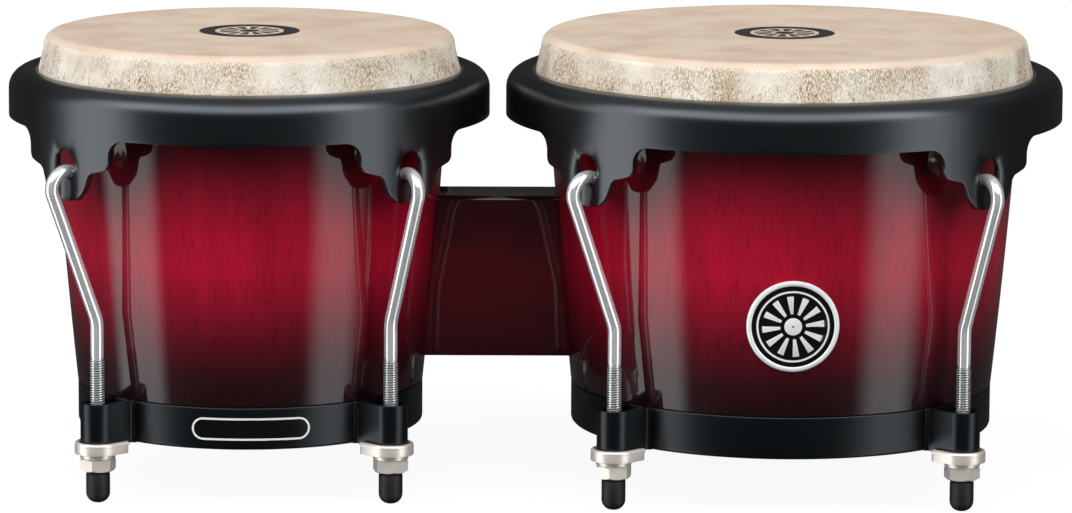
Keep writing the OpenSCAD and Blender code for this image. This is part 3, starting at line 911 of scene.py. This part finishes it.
chrome = plated("bright_chrome_plated_steel", "#f4f6f8", 0.06, 0.04, 9.0, 0.62)
nickel = plated("satin_nickel_plated_steel", "#f7f0e7", 0.34, 0.08, 4.0, 0.65)
# The thread steel is darker than the chrome: painted shade for the gaps between the thread's crests.
thread_shade_steel = plated("thread_flanks_painted_shade", "#6c6f73", 0.38, 0.10, 2.0)
zinc = plated("zinc_plated_steel", "#b9bcc0", 0.30, 0.12, 3.0)
print("plated:", chrome.name, nickel.name, thread_shade_steel.name, zinc.name)

# %% [markdown]
# A tuning rod is 5.5 mm wire, threaded M6 at the foot, bent outward to clear the shell, and hooked over the
# claw's slot at the top. The wire is swept along its centre line. The thread is a real ridge wound round a
# thinner core, one turn a millimetre, and it sinks into the wire at its upper end as a rolled thread does.

# %% Wire and thread
PITCH = 1.0 * MM


def sweep(bm, path, radii, sides, place):
    """A round wire along path, a list of (x, z) in one upright plane, closed at both ends."""
    rings = []
    for i, (x, z) in enumerate(path):
        a, b = path[max(0, i - 1)], path[min(len(path) - 1, i + 1)]
        along = Vector((b[0] - a[0], 0, b[1] - a[1])).normalized()
        across = Vector((along.z, 0, -along.x))
        ring = []
        for k in range(sides):
            t = 2 * math.pi * k / sides
            point = Vector((x, 0, z)) + radii[i] * (math.cos(t) * across + math.sin(t) * Vector((0, 1, 0)))
            ring.append(bm.verts.new(place @ point))
        rings.append(ring)
    for one, two in zip(rings, rings[1:]):
        for k in range(sides):
            n = (k + 1) % sides
            bm.faces.new((one[k], one[n], two[n], two[k]))
    bm.faces.new(rings[0])
    bm.faces.new(list(reversed(rings[-1])))


def wind_thread(bm, low, high, core, crest, place, sides=24):
    """The thread's ridge about the upright line at the origin, sunk below the core at both ends."""
    turns = (high - low) / PITCH
    steps = int(turns * sides)
    rings = []
    for i in range(steps + 1):
        angle = 2 * math.pi * i / sides
        z = low + (high - low) * i / steps
        fade = min(1.0, i / (0.7 * sides), (steps - i) / (1.4 * sides))
        tall = core - 0.25 * MM + (crest - core + 0.25 * MM) * fade
        root = core - 0.30 * MM
        ring = []
        for r, dz in ((root, -0.51), (tall, -0.19), (tall, 0.19), (root, 0.51)):
            spot = Vector((r * math.cos(angle), r * math.sin(angle), z + dz * PITCH))
            ring.append(bm.verts.new(place @ spot))
        rings.append(ring)
    for one, two in zip(rings, rings[1:]):
        for k in range(4):
            n = (k + 1) % 4
            flank = bm.faces.new((one[k], two[k], two[n], one[n]))
            # Crests wear chrome; flanks and core wear the darker thread steel, as painted shade between the
            # crests.
            flank.material_index = 0 if k == 1 else 1
    bm.faces.new(rings[0])
    bm.faces.new(list(reversed(rings[-1])))


print("one millimetre of thread is", round(1 * MM / PITCH), "turn")

# %% [markdown]
# The rod stands in the upright plane that holds both its lug and its claw's slot, which are not quite in
# line. Its lean is not given: it follows from the height of the lower bend and the place of the hook, so a
# short loop closes in on it.

# %% Hook rods
WIRE = 2.75 * MM
THREAD_CORE = 2.45 * MM
THREAD_CREST = 3.0 * MM
LOWER_BEND = 14.0 * MM
BEND_HEIGHT = 73.3 * MM
BARE_LENGTH = 13.0 * MM
HOOK_RADIUS = 7.2 * MM
HOOK_TURN = 122
HOOK_INSET = 2.0 * MM


def rod_plane(drum, k):
    """Matrix of the rod's upright plane, with +X from the foot towards the slot, and the slot's distance."""
    foot = drum["rod"] * Vector((math.cos(drum["turns"][k]), math.sin(drum["turns"][k])))
    slot = (drum["rim"] - HOOK_INSET) * Vector((math.cos(drum["claws"][k]), math.sin(drum["claws"][k])))
    aim = slot - foot
    place = Matrix.Translation((drum["x"] + foot.x, foot.y, 0))
    return place @ Matrix.Rotation(math.atan2(aim.y, aim.x), 4, "Z"), aim.length


def rod_line(low, high, hook_x):
    """The wire's centre line as (x, z), its radius at each point, and the height where the thread ends."""
    hook_z = high - HOOK_RADIUS - WIRE
    lean = math.radians(20)
    for _ in range(20):
        top_x, top_z = hook_x + HOOK_RADIUS * math.cos(lean), hook_z - HOOK_RADIUS * math.sin(lean)
        low_x, low_z = LOWER_BEND * (1 - math.cos(lean)), BEND_HEIGHT + LOWER_BEND * math.sin(lean)
        lean = math.atan2(top_x - low_x, top_z - low_z)
    thread_end = BEND_HEIGHT - BARE_LENGTH
    levels = [low, low + 0.6 * MM, thread_end - 0.6 * MM, thread_end + 1.2 * MM]
    levels.append((thread_end + BEND_HEIGHT) / 2)
    path = [(0, z) for z in levels]
    radii = [THREAD_CORE - 0.5 * MM, THREAD_CORE, THREAD_CORE, WIRE, WIRE]
    tilt = math.degrees(lean)
    path += arc(LOWER_BEND, BEND_HEIGHT, LOWER_BEND, 180, 180 - tilt, 8)
    path += [(low_x + (top_x - low_x) * i / 6, low_z + (top_z - low_z) * i / 6) for i in range(1, 6)]
    path += arc(hook_x, hook_z, HOOK_RADIUS, -tilt, HOOK_TURN, 20)
    a = math.radians(HOOK_TURN)
    tip, ahead = path[-1], (-math.sin(a), math.cos(a))
    path += [(tip[0] + far * MM * ahead[0], tip[1] + far * MM * ahead[1]) for far in (1.2, 2.5, 2.9, 3.0)]
    radii += [WIRE] * (len(path) - len(radii) - 2) + [WIRE - 0.25 * MM, WIRE - 0.7 * MM]
    return path, radii, thread_end


def make_rod(drum, k):
    """One hook rod with its thread."""
    name = drum["name"]
    low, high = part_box(f"{name}_rod_{CORNERS[k]}")
    place, hook_x = rod_plane(drum, k)
    path, radii, thread_end = rod_line(low.z, high.z, hook_x)
    bm = bmesh.new()
    sweep(bm, path, radii, 28, place)
    wind_thread(bm, low.z + 0.7 * MM, thread_end + 0.4 * MM, THREAD_CORE, THREAD_CREST, place)
    # The second finish is the thread's painted shade, on its flanks and core.
    finishes = [chrome, thread_shade_steel]
    piece = finish_piece(f"{name}_hook_rod_{CORNERS[k]}", bm, name + "_rim_set", finishes, 50)
    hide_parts(f"{name}_rod_{CORNERS[k]}")
    return piece


for drum in DRUMS:
    for k in range(4):
        rod = make_rod(drum, k)
print("last rod:", rod.name, len(rod.data.vertices), "points")

# %% [markdown]
# A 13 mm nut draws each rod down. It is hexagonal with its corners turned off by a cone, which leaves the
# curved chamfer lines, so each of its rings of points is worked out from how far the hexagon stands out at
# that angle.

# %% Nuts
NUT_FLAT = 6.5 * MM
NUT_BORE = 3.05 * MM
NUT_DROP = 0.7 * MM


def make_nut(drum, k):
    """One hexagon nut, riding on its own turning body."""
    name = f"{drum['name']}_nut_{CORNERS[k]}"
    low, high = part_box(name)
    point = NUT_FLAT / math.cos(math.pi / 6)
    place = corner_place(drum, k)
    rings = [[] for _ in range(8)]
    bm = bmesh.new()
    for i in range(96):
        a = 2 * math.pi * i / 96
        side = NUT_FLAT / math.cos((a + math.pi / 6) % (math.pi / 3) - math.pi / 6)
        turned = NUT_DROP * (side - NUT_FLAT) / (point - NUT_FLAT)
        lower = [
            (NUT_BORE, 0.5 * MM), (NUT_BORE + 0.5 * MM, 0.0),
            (NUT_FLAT - 0.25 * MM, 0.0), (side, turned + 0.12 * MM)]
        shape = [(r, low.z + h) for r, h in lower] + [(r, high.z - h) for r, h in reversed(lower)]
        for ring, (r, z) in zip(rings, shape):
            ring.append(bm.verts.new(place @ Vector((r * math.cos(a), r * math.sin(a), z))))
    for i, one in enumerate(rings):
        two = rings[(i + 1) % 8]
        for j in range(96):
            n = (j + 1) % 96
            bm.faces.new((one[j], one[n], two[n], two[j]))
    piece = finish_piece(f"{drum['name']}_hex_nut_{CORNERS[k]}", bm, name + "_body", [nickel], 24)
    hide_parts(name)
    return piece


for drum in DRUMS:
    for k in range(4):
        nut = make_nut(drum, k)
print("last nut:", nut.name, len(nut.data.vertices), "points")

# %% [markdown]
# Between nut and lug lie a thin flat washer and a dished plate, which cups the loop. The plate is round
# outside and straight towards the ring. It is made as two prisms that share a face: the floor with its rod
# hole, strongly rounded below, and the raised wall with its lip rolled over at the top.

# %% Washers and plates
WASHER_HOLE = 3.3 * MM
WASHER_HALF = 7.3 * MM
PLATE_HALF = 9.5 * MM
PLATE_BACK = 9.0 * MM
PLATE_POCKET = 7.2 * MM


def lathe_at(bm, profile, place, segments=48):
    """Spins a closed profile about a rod."""
    fresh = bmesh.new()
    lathe(fresh, profile, 0.0, segments)
    bmesh.ops.transform(fresh, matrix=place, verts=fresh.verts)
    spare = bpy.data.meshes.new("spare")
    fresh.to_mesh(spare)
    fresh.free()
    bm.from_mesh(spare)
    bpy.data.meshes.remove(spare)


def make_flat_washers(drum):
    """The four thin washers of one drum, as one piece."""
    low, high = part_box(drum["name"] + "_thin_washers")
    square = [(WASHER_HOLE, low.z), (WASHER_HALF, low.z), (WASHER_HALF, high.z), (WASHER_HOLE, high.z)]
    bm = bmesh.new()
    for k in range(4):
        lathe_at(bm, rounded(square, 0.35 * MM, 3), corner_place(drum, k), 64)
    piece = finish_piece(drum["name"] + "_flat_washers", bm, "root", [nickel], 50)
    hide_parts(drum["name"] + "_thin_washers")
    return piece


def make_plates(drum):
    """The four dished plates of one drum, as one piece."""
    low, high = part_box(drum["name"] + "_plate_washers")
    nose = arc(0, 0, PLATE_HALF, -90, 90, 24)
    blunt = [(-PLATE_BACK, -PLATE_HALF, 1.5 * MM)] + [(x, y, 0) for x, y in nose]
    floor_outline = rounded(blunt + [(-PLATE_BACK, PLATE_HALF, 1.5 * MM)], 0, 4)
    pocket = [(-PLATE_BACK, PLATE_POCKET)] + arc(0, 0, PLATE_POCKET, 90, -90, 24)
    wall_outline = nose + [(-PLATE_BACK, PLATE_HALF)] + pocket
    wall_outline += [(-PLATE_BACK, -PLATE_POCKET), (-PLATE_BACK, -PLATE_HALF)]
    hole = arc(0, 0, WASHER_HOLE, 360, 15, 23)
    seat = drum["ring_low"]
    bm = bmesh.new()
    for k in range(4):
        place = corner_place(drum, k)
        prism(bm, floor_outline, [hole], low.z, seat - 0.1 * MM, 0.05 * MM, place, 2.2 * MM)
        prism(bm, wall_outline, [], seat - 0.3 * MM, high.z, 1.05 * MM, place, 0.02 * MM)
    piece = finish_piece(drum["name"] + "_dished_plates", bm, "root", [nickel], 40)
    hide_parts(drum["name"] + "_plate_washers")
    return piece


for drum in DRUMS:
    print(make_flat_washers(drum).name, make_plates(drum).name)

# %% [markdown]
# A soft rubber cap is pushed over the end of each thread and becomes the foot that the drums stand on. It
# is dip moulded, so its end is a dome, its skin is matt with a fine pebble, and it is open at the top.

# %% Rubber feet
CAP_BORE = 3.05 * MM
CAP_FLOOR = 3.0 * MM

rubber, tree, shader = new_material("moulded_black_rubber")
pebble = peel(tree, 0.4, 0.3, 0.03, 4.0)
feed(shader, {"Base Color": hex_colour("#101011"), "Roughness": 0.55, "Normal": pebble})


def make_cap(drum, k):
    """One rubber foot, riding with its rod."""
    name = f"{drum['name']}_cap_{CORNERS[k]}"
    low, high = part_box(name)
    r = (high.x - low.x) / 2
    dome = r - 0.7 * MM
    profile = [(0, low.z)] + arc(r - dome, low.z + dome, dome, -90, 0, 9)
    profile += [(r, low.z + 7.5 * MM), (r, high.z - 0.9 * MM)]
    profile += [(r - 0.25 * MM, high.z - 0.25 * MM), (r - 0.9 * MM, high.z), (CAP_BORE + 0.05 * MM, high.z)]
    profile += [(CAP_BORE, low.z + CAP_FLOOR), (0, low.z + CAP_FLOOR)]
    bm = bmesh.new()
    lathe(bm, profile, 0.0, 48, closed=False)
    bmesh.ops.transform(bm, matrix=corner_place(drum, k), verts=bm.verts)
    bmesh.ops.delete(bm, geom=[v for v in bm.verts if not v.link_faces], context="VERTS")
    title = f"{drum['name']}_rubber_foot_{CORNERS[k]}"
    piece = finish_piece(title, bm, drum["name"] + "_rim_set", [rubber], 50)
    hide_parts(name)
    return piece


for drum in DRUMS:
    for k in range(4):
        cap = make_cap(drum, k)
print("last foot:", cap.name, round(cap.dimensions.z / MM, 1), "mm tall")

# %% [markdown]
# The heads are rawhide, soaked and pulled over the shell, then dried tight. The playing face is scraped to
# a pinkish beige with soft mottling 24 mm across. On the collar the hide keeps short hairs, brown and grey,
# over a paler skin. The hide lets a little light in, which a thin subsurface layer gives. A round ink print
# marks the middle of each face.

# %% Rawhide and ink
def rawhide(name, ground, patch, hairs):
    """Dried hide: two mottled tones with a fine grain, and dark specks of hair roots where hairs is true."""
    made, tree, shader = new_material(name)
    place = add(tree, "ShaderNodeTexCoord").outputs["Object"]
    cloud, fine, drift = (
        add(tree, "ShaderNodeTexNoise", {"Vector": place, "Scale": per_mm(size), "Detail": detail}).outputs[0]
        for size, detail in ((24, 5.0), (1.2, 3.0), (26, 4.0)))
    colour = add(tree, "ShaderNodeValToRGB", {0: cloud}, [(0.32, patch), (0.60, ground)]).outputs[0]
    if hairs:
        tones = [(0.34, "#ffffff"), (0.50, "#d8cbb9"), (0.62, "#a08c76"), (0.72, "#6a5646")]
        specks = add(tree, "ShaderNodeValToRGB", {0: grain(tree, 0.45, 1.4, 2, 6.0)}, tones).outputs[0]
        where = add(tree, "ShaderNodeValToRGB", {0: drift}, [(0.38, "#404040"), (0.60, "#ffffff")]).outputs[0]
        colour = add(tree, "ShaderNodeMix", {0: where, 6: colour, 7: specks}, **MULTIPLY).outputs[2]
    relief = add(tree, "ShaderNodeBump", {"Height": fine, "Strength": 0.4, "Distance": 0.12 * MM}).outputs[0]
    feed(shader, {
        "Base Color": colour, "Roughness": 0.55, "Normal": relief,
        "Subsurface Weight": 0.15, "Subsurface Scale": 1.5 * MM,
    })
    return made


scraped_hide = rawhide("scraped_rawhide", "#e0cdb9", "#d2b9a4", False)
collar_hide = rawhide("hairy_rawhide_collar", "#eee9de", "#dcd2c3", True)
ink, tree, shader = new_material("charcoal_stamp_ink")
feed(shader, {"Base Color": hex_colour("#2c2a2b"), "Roughness": 0.7})
print("hide:", scraped_hide.name, collar_hide.name, ink.name)

# %% [markdown]
# A head is one round of rawhide. It lies on the bearing edge, turns down over a small shoulder, and its
# collar flares out to the rim. Under the rim's lip it is lapped round the flesh hoop and its cut edge
# stands up outside. First its section is worked out: the outer face, then the inner face one hide's
# thickness behind it.

# %% The skin's section
HIDE = 1.5 * MM
HIDE_SHOULDER = 5.0 * MM
HOOP_WIRE = 2.65 * MM
# edges of the printed rings, from the middle out, in mm
INK_RINGS = (4.2, 5.4, 12.6, 14.4, 21.0)


def skin_line(drum):
    """The outer face's profile from the middle to the rim's lip, as (radius, height)."""
    r, top, rim_top = drum["head"], drum["head_top"], drum["rim_top"]
    line = [(d * MM, top) for d in (0, *INK_RINGS, 30, 45, 60)] + [(r - 12 * MM, top), (r - 7 * MM, top)]
    turn = [math.radians(11 * i) for i in range(8)]
    line += [(r - HIDE_SHOULDER * (1 - math.sin(a)), top - HIDE_SHOULDER * (1 - math.cos(a))) for a in turn]
    shoulder = line[-1]
    lip = (r + 2.35 * MM, rim_top - 0.5 * MM)
    for i in range(1, 8):
        t = i / 7
        flare = 0.62 * t + 0.38 * t * t
        line.append((shoulder[0] + (lip[0] - shoulder[0]) * flare, shoulder[1] + (lip[1] - shoulder[1]) * t))
    return line


def skin_section(drum):
    """The whole hide in section, from the middle of its face round the lap and back along its inner face."""
    line = skin_line(drum)
    hoop_r, hoop_z = drum["head"] + 4.1 * MM, drum["rim_top"] - 5.6 * MM
    inner = [(r, z - HIDE) for r, z in line[:11]]
    for i in range(11, len(line)):
        before, after = Vector(line[i - 1]), Vector(line[min(i + 1, len(line) - 1)])
        along = (after - before).normalized()
        inner.append((line[i][0] + HIDE * along.y, line[i][1] - HIDE * along.x))
    tuck = [(drum["head"] + 1.9 * MM, hoop_z + 2.2 * MM), (drum["head"] + 1.45 * MM, hoop_z + 0.8 * MM)]
    lap_in = arc(hoop_r, hoop_z, HOOP_WIRE, 180, 380, 10)
    lap_out = arc(hoop_r, hoop_z, HOOP_WIRE + HIDE, 180, 380, 10)
    return line + tuck + lap_in + list(reversed(inner + lap_out)), (hoop_r, hoop_z)


print("the large skin's section has", len(skin_section(DRUMS[1])[0]), "points")

# %% [markdown]
# The section is spun, with a slight waviness low on the collar and a ragged cut edge. The print is a ring of
# petals, and its faces just wear ink.

# %% Skins
PETALS = 12
PETAL_GAP = 0.375


def hide_wobble(drum, hoop_r, hoop_z):
    """A function for the lathe that makes the collar a little wavy and the cut edge ragged."""
    seed = 5.0 if drum["name"] == "macho" else 9.0
    wavy_below = drum["rim_top"] + 9 * MM

    def wobble(r, z, a):
        spot = Vector((3.2 * math.cos(a), 3.2 * math.sin(a), seed))
        if z < wavy_below and r > drum["head"]:
            low = min(1.0, (wavy_below - z) / (9 * MM))
            shown = 1.0 if z > drum["rim_top"] - 1 * MM else 0.3
            r += 0.28 * MM * low * noise.noise(spot * 3.0) * shown
        if r > hoop_r + 1.5 * MM and z > hoop_z + 0.2 * MM:
            z += 0.8 * MM * noise.noise(spot * 5.0)
        return r, z

    return wobble


def hide_finish(drum, face):
    """Which material a face of the skin wears: 0 scraped hide, 1 hairy collar, 2 ink."""
    spot = face.calc_center_median()
    out = math.hypot(spot.x - drum["x"], spot.y) / MM
    turn = (math.atan2(spot.y, spot.x - drum["x"]) / (2 * math.pi) * PETALS) % 1.0
    dot, petal_in, petal_out, ring_in, ring_out = INK_RINGS
    if spot.z > drum["head_top"] - 0.1 * MM and out < ring_out:
        inked = out < dot or out > ring_in or (petal_in < out < petal_out and turn > PETAL_GAP)
        return 2 if inked else 0
    return 0 if spot.z > drum["head_top"] - 2.2 * MM else 1


def make_head(drum):
    """One rawhide head, and how far across the round was that it is cut from."""
    name = drum["name"]
    section, (hoop_r, hoop_z) = skin_section(drum)
    bm = bmesh.new()
    lathe(bm, section, drum["x"], 192, closed=False, wobble=hide_wobble(drum, hoop_r, hoop_z))
    for face in bm.faces:
        face.material_index = hide_finish(drum, face)
    bmesh.ops.delete(bm, geom=[v for v in bm.verts if not v.link_faces], context="VERTS")
    piece = finish_piece(name + "_rawhide_head", bm, None, [scraped_hide, collar_hide, ink], 60)
    area = sum(p.area for p in piece.data.polygons) / 2
    across = 2 * math.sqrt(area / math.pi)
    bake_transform(piece)
    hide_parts(name + "_head")
    return piece, across


for drum in DRUMS:
    head, across = make_head(drum)
    print(head.name, "cut from a round", round(across / MM, 1), "mm across")

# %% [markdown]
# The hide's collar keeps a few short hairs. Each is a thin three-sided sliver of real mesh lying on the
# skin, bent a little, and they are strewn by a seeded random number so that the drum is the same every
# time.

# %% Hairs on the collar
HAIRS = 1500

hair_brown, tree, shader = new_material("brown_hide_hair")
feed(shader, {"Base Color": hex_colour("#5b4536"), "Roughness": 0.6})
hair_grey, tree, shader = new_material("grey_hide_hair")
feed(shader, {"Base Color": hex_colour("#8b8278"), "Roughness": 0.6})


def collar_radius(line, z):
    """Radius of the skin's outer face at height z, on the collar."""
    for (r0, z0), (r1, z1) in zip(line[10:], line[11:]):
        if z1 <= z <= z0 and z0 > z1:
            return r0 + (r1 - r0) * (z0 - z) / (z0 - z1)
    return line[-1][0]


def add_hair(bm, drum, line, dice, angle):
    """One hair at this angle round the drum, as four small triangles of points joined into a sliver."""
    z = drum["rim_top"] + dice.uniform(0.6, 9.5) * MM * dice.uniform(0.4, 1.0)
    reach, lean, thick = dice.uniform(1.2, 3.4) * MM, dice.gauss(0, 0.7), dice.uniform(0.05, 0.10) * MM
    tint = 0 if dice.random() < 0.7 else 1
    rings = []
    for i in range(4):
        t = i / 3
        zz = max(drum["rim_top"] + 0.1 * MM, z - reach * math.cos(lean) * t)
        turn = angle + reach * math.sin(lean) * t / drum["head"] + 0.004 * t * t * lean
        rr = collar_radius(line, zz) + (0.05 + 0.35 * t * t * dice.random()) * MM
        wide = thick * (1 - 0.8 * t)
        centre = Vector((drum["x"] + rr * math.cos(turn), rr * math.sin(turn), zz))
        side = Vector((-math.sin(turn), math.cos(turn), 0)) * wide
        out = Vector((math.cos(turn), math.sin(turn), 0)) * wide
        rings.append([bm.verts.new(spot) for spot in (centre + side, centre - side, centre + out)])
    faces = [bm.faces.new(rings[0]), bm.faces.new(list(reversed(rings[-1])))]
    for one, two in zip(rings, rings[1:]):
        for k in range(3):
            n = (k + 1) % 3
            faces.append(bm.faces.new((one[k], one[n], two[n], two[k])))
    for face in faces:
        face.material_index = tint


def make_hairs(drum):
    """The hairs of one collar, thicker in some places than in others."""
    line = skin_line(drum)
    dice = random.Random(drum["name"])
    bm = bmesh.new()
    for _ in range(HAIRS):
        angle = dice.uniform(0, 2 * math.pi)
        spot = Vector((2.0 * math.cos(angle), 2.0 * math.sin(angle), 1.0))
        if noise.noise(spot * 4.0) >= dice.uniform(-0.5, 0.35):
            add_hair(bm, drum, line, dice, angle)
    piece = finish_piece(drum["name"] + "_collar_hairs", bm, None, [hair_brown, hair_grey], 80)
    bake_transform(piece)
    return piece


for drum in DRUMS:
    hairs = make_hairs(drum)
    print(hairs.name, len(hairs.data.polygons) // 11, "hairs")

# %% [markdown]
# The large drum carries a round metal badge. Its field is black glass enamel fired into the sunk ground,
# inside a silver bezel of satin anodised aluminium, and the device is a plain raised sunburst of twelve
# rays and a ring. It is a relief drawn in rings and sectors and then wrapped on to the shell, as the badge
# is bent to fit the wood.

# %% Badge
BADGE_RIM = 2.1 * MM
SECTORS = 144
RAYS = 12
RAY_HEIGHT = 0.22 * MM
# the field's rings as (distance from the middle, height over the wood, 0 enamel or 1 bare metal), in mm
FIELD_RINGS = [
    (0.4, 1.05, 1), (3.0, 1.0, 1), (3.6, 0.8, 0), (5.0, 0.75, 0), (5.3, 0.75, 0), (12.6, 0.75, 0),
    (12.9, 0.75, 0), (14.0, 0.75, 0), (14.1, 0.9, 1), (14.9, 0.9, 0), (15.0, 0.75, 0),
]

enamel, tree, shader = new_material("black_glass_enamel")
feed(shader, {
    "Base Color": hex_colour("#08080a"), "Roughness": 0.12, "Coat Weight": 1.0, "Coat Roughness": 0.02})
aluminium, tree, shader = new_material("satin_anodised_aluminium")
satin = peel(tree, 0.5, 0.15, 0.02)
feed(shader, {"Base Color": hex_colour("#f4f5f6"), "Metallic": 0.2, "Roughness": 0.30, "Normal": satin})


def rays(out, turn):
    """How far the field stands up at a distance from the middle and a part of a turn round."""
    lit = 5.2 * MM < out < 12.8 * MM and (turn * RAYS) % 1.0 < 0.43
    return RAY_HEIGHT if lit else 0.0


def flat(out, turn):
    """The bezel has no rays."""
    return 0.0


def relief(name, rings, lift, wrap, slot, materials):
    """A piece of the badge from rings of (distance, height, material), lifted and wrapped on to the shell."""
    bm = bmesh.new()
    circles = []
    for out, tall, _ in rings:
        turns = [(2 * math.pi * k / SECTORS, tall + lift(out, k / SECTORS)) for k in range(SECTORS)]
        circles.append([bm.verts.new(wrap(out * math.cos(a), out * math.sin(a), h)) for a, h in turns])
    for i, (one, two) in enumerate(zip(circles, circles[1:])):
        for k in range(SECTORS):
            n = (k + 1) % SECTORS
            face = bm.faces.new((one[k], one[n], two[n], two[k]))
            face.material_index = rings[i][2]
            here, there = rings[i][0], rings[i + 1][0]
            if lift(here, k / SECTORS) and lift(there, k / SECTORS) and lift(here, n / SECTORS):
                face.material_index = 1
    if rings[0][0] < 1 * MM:
        bm.faces.new(circles[0])
        bm.faces.new(list(reversed(circles[-1])))
    else:
        for k in range(SECTORS):
            n = (k + 1) % SECTORS
            bm.faces.new((circles[-1][k], circles[-1][n], circles[0][n], circles[0][k]))
    return finish_piece(name, bm, "root", materials, 35)


def make_badge(drum):
    """The badge's field and bezel on one drum."""
    low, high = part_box("badge_bezel")
    centre_z, size = (low.z + high.z) / 2, (high.z - low.z) / 2
    facing = math.atan2((low.y + high.y) / 2, (low.x + high.x) / 2 - drum["x"])

    def wrap(u, v, h):
        r = side_radius(drum, centre_z + v) + h
        a = facing + u / r
        return (drum["x"] + r * math.cos(a), r * math.sin(a), centre_z + v)

    edge = size - BADGE_RIM
    field = [(out * MM, tall * MM, finish) for out, tall, finish in FIELD_RINGS]
    field += [(edge, 0.75 * MM, 0), (edge, 0.1 * MM, 0)]
    inner = edge + 0.05 * MM
    bezel = [(inner, 0.1 * MM, 0), (inner, 0.95 * MM, 0), (edge + 0.4 * MM, 1.25 * MM, 0)]
    bezel += [(size - 1.0 * MM, 1.3 * MM, 0), (size - 0.35 * MM, 1.1 * MM, 0)]
    bezel += [(size, 0.6 * MM, 0), (size, 0.1 * MM, 0)]
    disc = relief("enamel_badge_field", field, rays, wrap, "black_enamel", [enamel, aluminium])
    border = relief("silver_badge_bezel", bezel, flat, wrap, "polished_aluminium", [aluminium])
    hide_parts("shell_badge")
    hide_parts("badge_bezel")
    return disc, border


for piece in make_badge(DRUMS[1]):
    print(piece.name, round(piece.dimensions.z / MM, 1), "mm tall")

# %% [markdown]
# A long foil label with round ends is stuck to the small drum's ring. It is printed black with a silver
# border line that stands proud of the foil. It is drawn flat as nested outlines and then bent round the
# ring.

# %% Ring label
LABEL_LENGTH = 50.0 * MM
LABEL_STEPS = 20
END_STEPS = 16
# nested outlines as (distance in from the edge, height over the ring), in mm; the raised part is the border
LABEL_RINGS = [(0.0, 0.1), (0.0, 0.34), (0.35, 0.36), (0.38, 0.44), (1.15, 0.44), (1.18, 0.36), (3.2, 0.36)]

foil, tree, shader = new_material("black_label_foil")
feed(shader, {"Base Color": hex_colour("#0a0a0b"), "Roughness": 0.22})


def pill(straight, w):
    """A long outline with round ends: half length of its straight sides, and half height w."""
    points = [(straight - 2 * straight * i / LABEL_STEPS, w) for i in range(LABEL_STEPS + 1)]
    points += arc(-straight, 0, w, 90, 270, END_STEPS)[1:-1]
    points += [(-x, -y) for x, y in points[:LABEL_STEPS + 1]]
    return points + arc(straight, 0, w, -90, 90, END_STEPS)[1:-1]


def close_pill(bm, ring):
    """Fills a pill outline with strips across its height, so that it can bend round the ring."""
    count = len(ring)
    half = LABEL_STEPS + END_STEPS
    for k in range(LABEL_STEPS):
        bm.faces.new((ring[k], ring[k + 1], ring[half + LABEL_STEPS - 1 - k], ring[half + LABEL_STEPS - k]))
    for start in (LABEL_STEPS, half + LABEL_STEPS):
        end = [ring[(start + i) % count] for i in range(END_STEPS + 1)]
        for i in range(END_STEPS // 2):
            corners = [end[i], end[i + 1], end[END_STEPS - 1 - i], end[END_STEPS - i]]
            bm.faces.new([v for j, v in enumerate(corners) if v not in corners[:j]])


def make_label(drum):
    """The label on one drum's ring."""
    low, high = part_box("ring_label")
    middle, height = (low + high) / 2, high.z - low.z
    facing = math.atan2(low.y, middle.x - drum["x"])
    bm = bmesh.new()
    rings = []
    for inset, tall in LABEL_RINGS:
        r = drum["ring"] + tall * MM
        points = pill((LABEL_LENGTH - height) / 2, height / 2 - inset * MM)
        spots = [(facing + u / r, v) for u, v in points]
        rings.append([
            bm.verts.new((drum["x"] + r * math.cos(a), r * math.sin(a), middle.z + v)) for a, v in spots])
    for i, (one, two) in enumerate(zip(rings, rings[1:])):
        for k in range(len(one)):
            n = (k + 1) % len(one)
            face = bm.faces.new((one[k], one[n], two[n], two[k]))
            face.material_index = 1 if 2 <= i <= 4 else 0
    close_pill(bm, rings[-1])
    close_pill(bm, rings[0])
    piece = finish_piece("silver_edged_ring_label", bm, "root", [foil, aluminium], 50)
    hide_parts("ring_label")
    return piece


label = make_label(DRUMS[0])
print(label.name, len(label.data.polygons), "faces")

# %% [markdown]
# The hoops inside the lapped skins and the bolts through the block are hardly seen, so they stay as the CAD
# made them, with the bolts' edges eased by a bevel and all of them zinc plated.

# %% Hidden hardware
HOOPS = ["macho_flesh_hoop", "hembra_flesh_hoop"]
BOLTS = ["upper_block_bolt", "lower_block_bolt", "block_bolt_washers", "block_bolt_nuts"]

for name in HOOPS + BOLTS:
    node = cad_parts[name]
    node.data.materials.clear()
    node.data.materials.append(zinc)
for name in BOLTS:
    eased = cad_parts[name].modifiers.new("eased_edges", "BEVEL")
    eased.width = 0.25 * MM
    eased.segments = 2
    eased.limit_method = "ANGLE"
    eased.angle_limit = math.radians(25)
print("hidden hardware finished:", len(HOOPS + BOLTS))
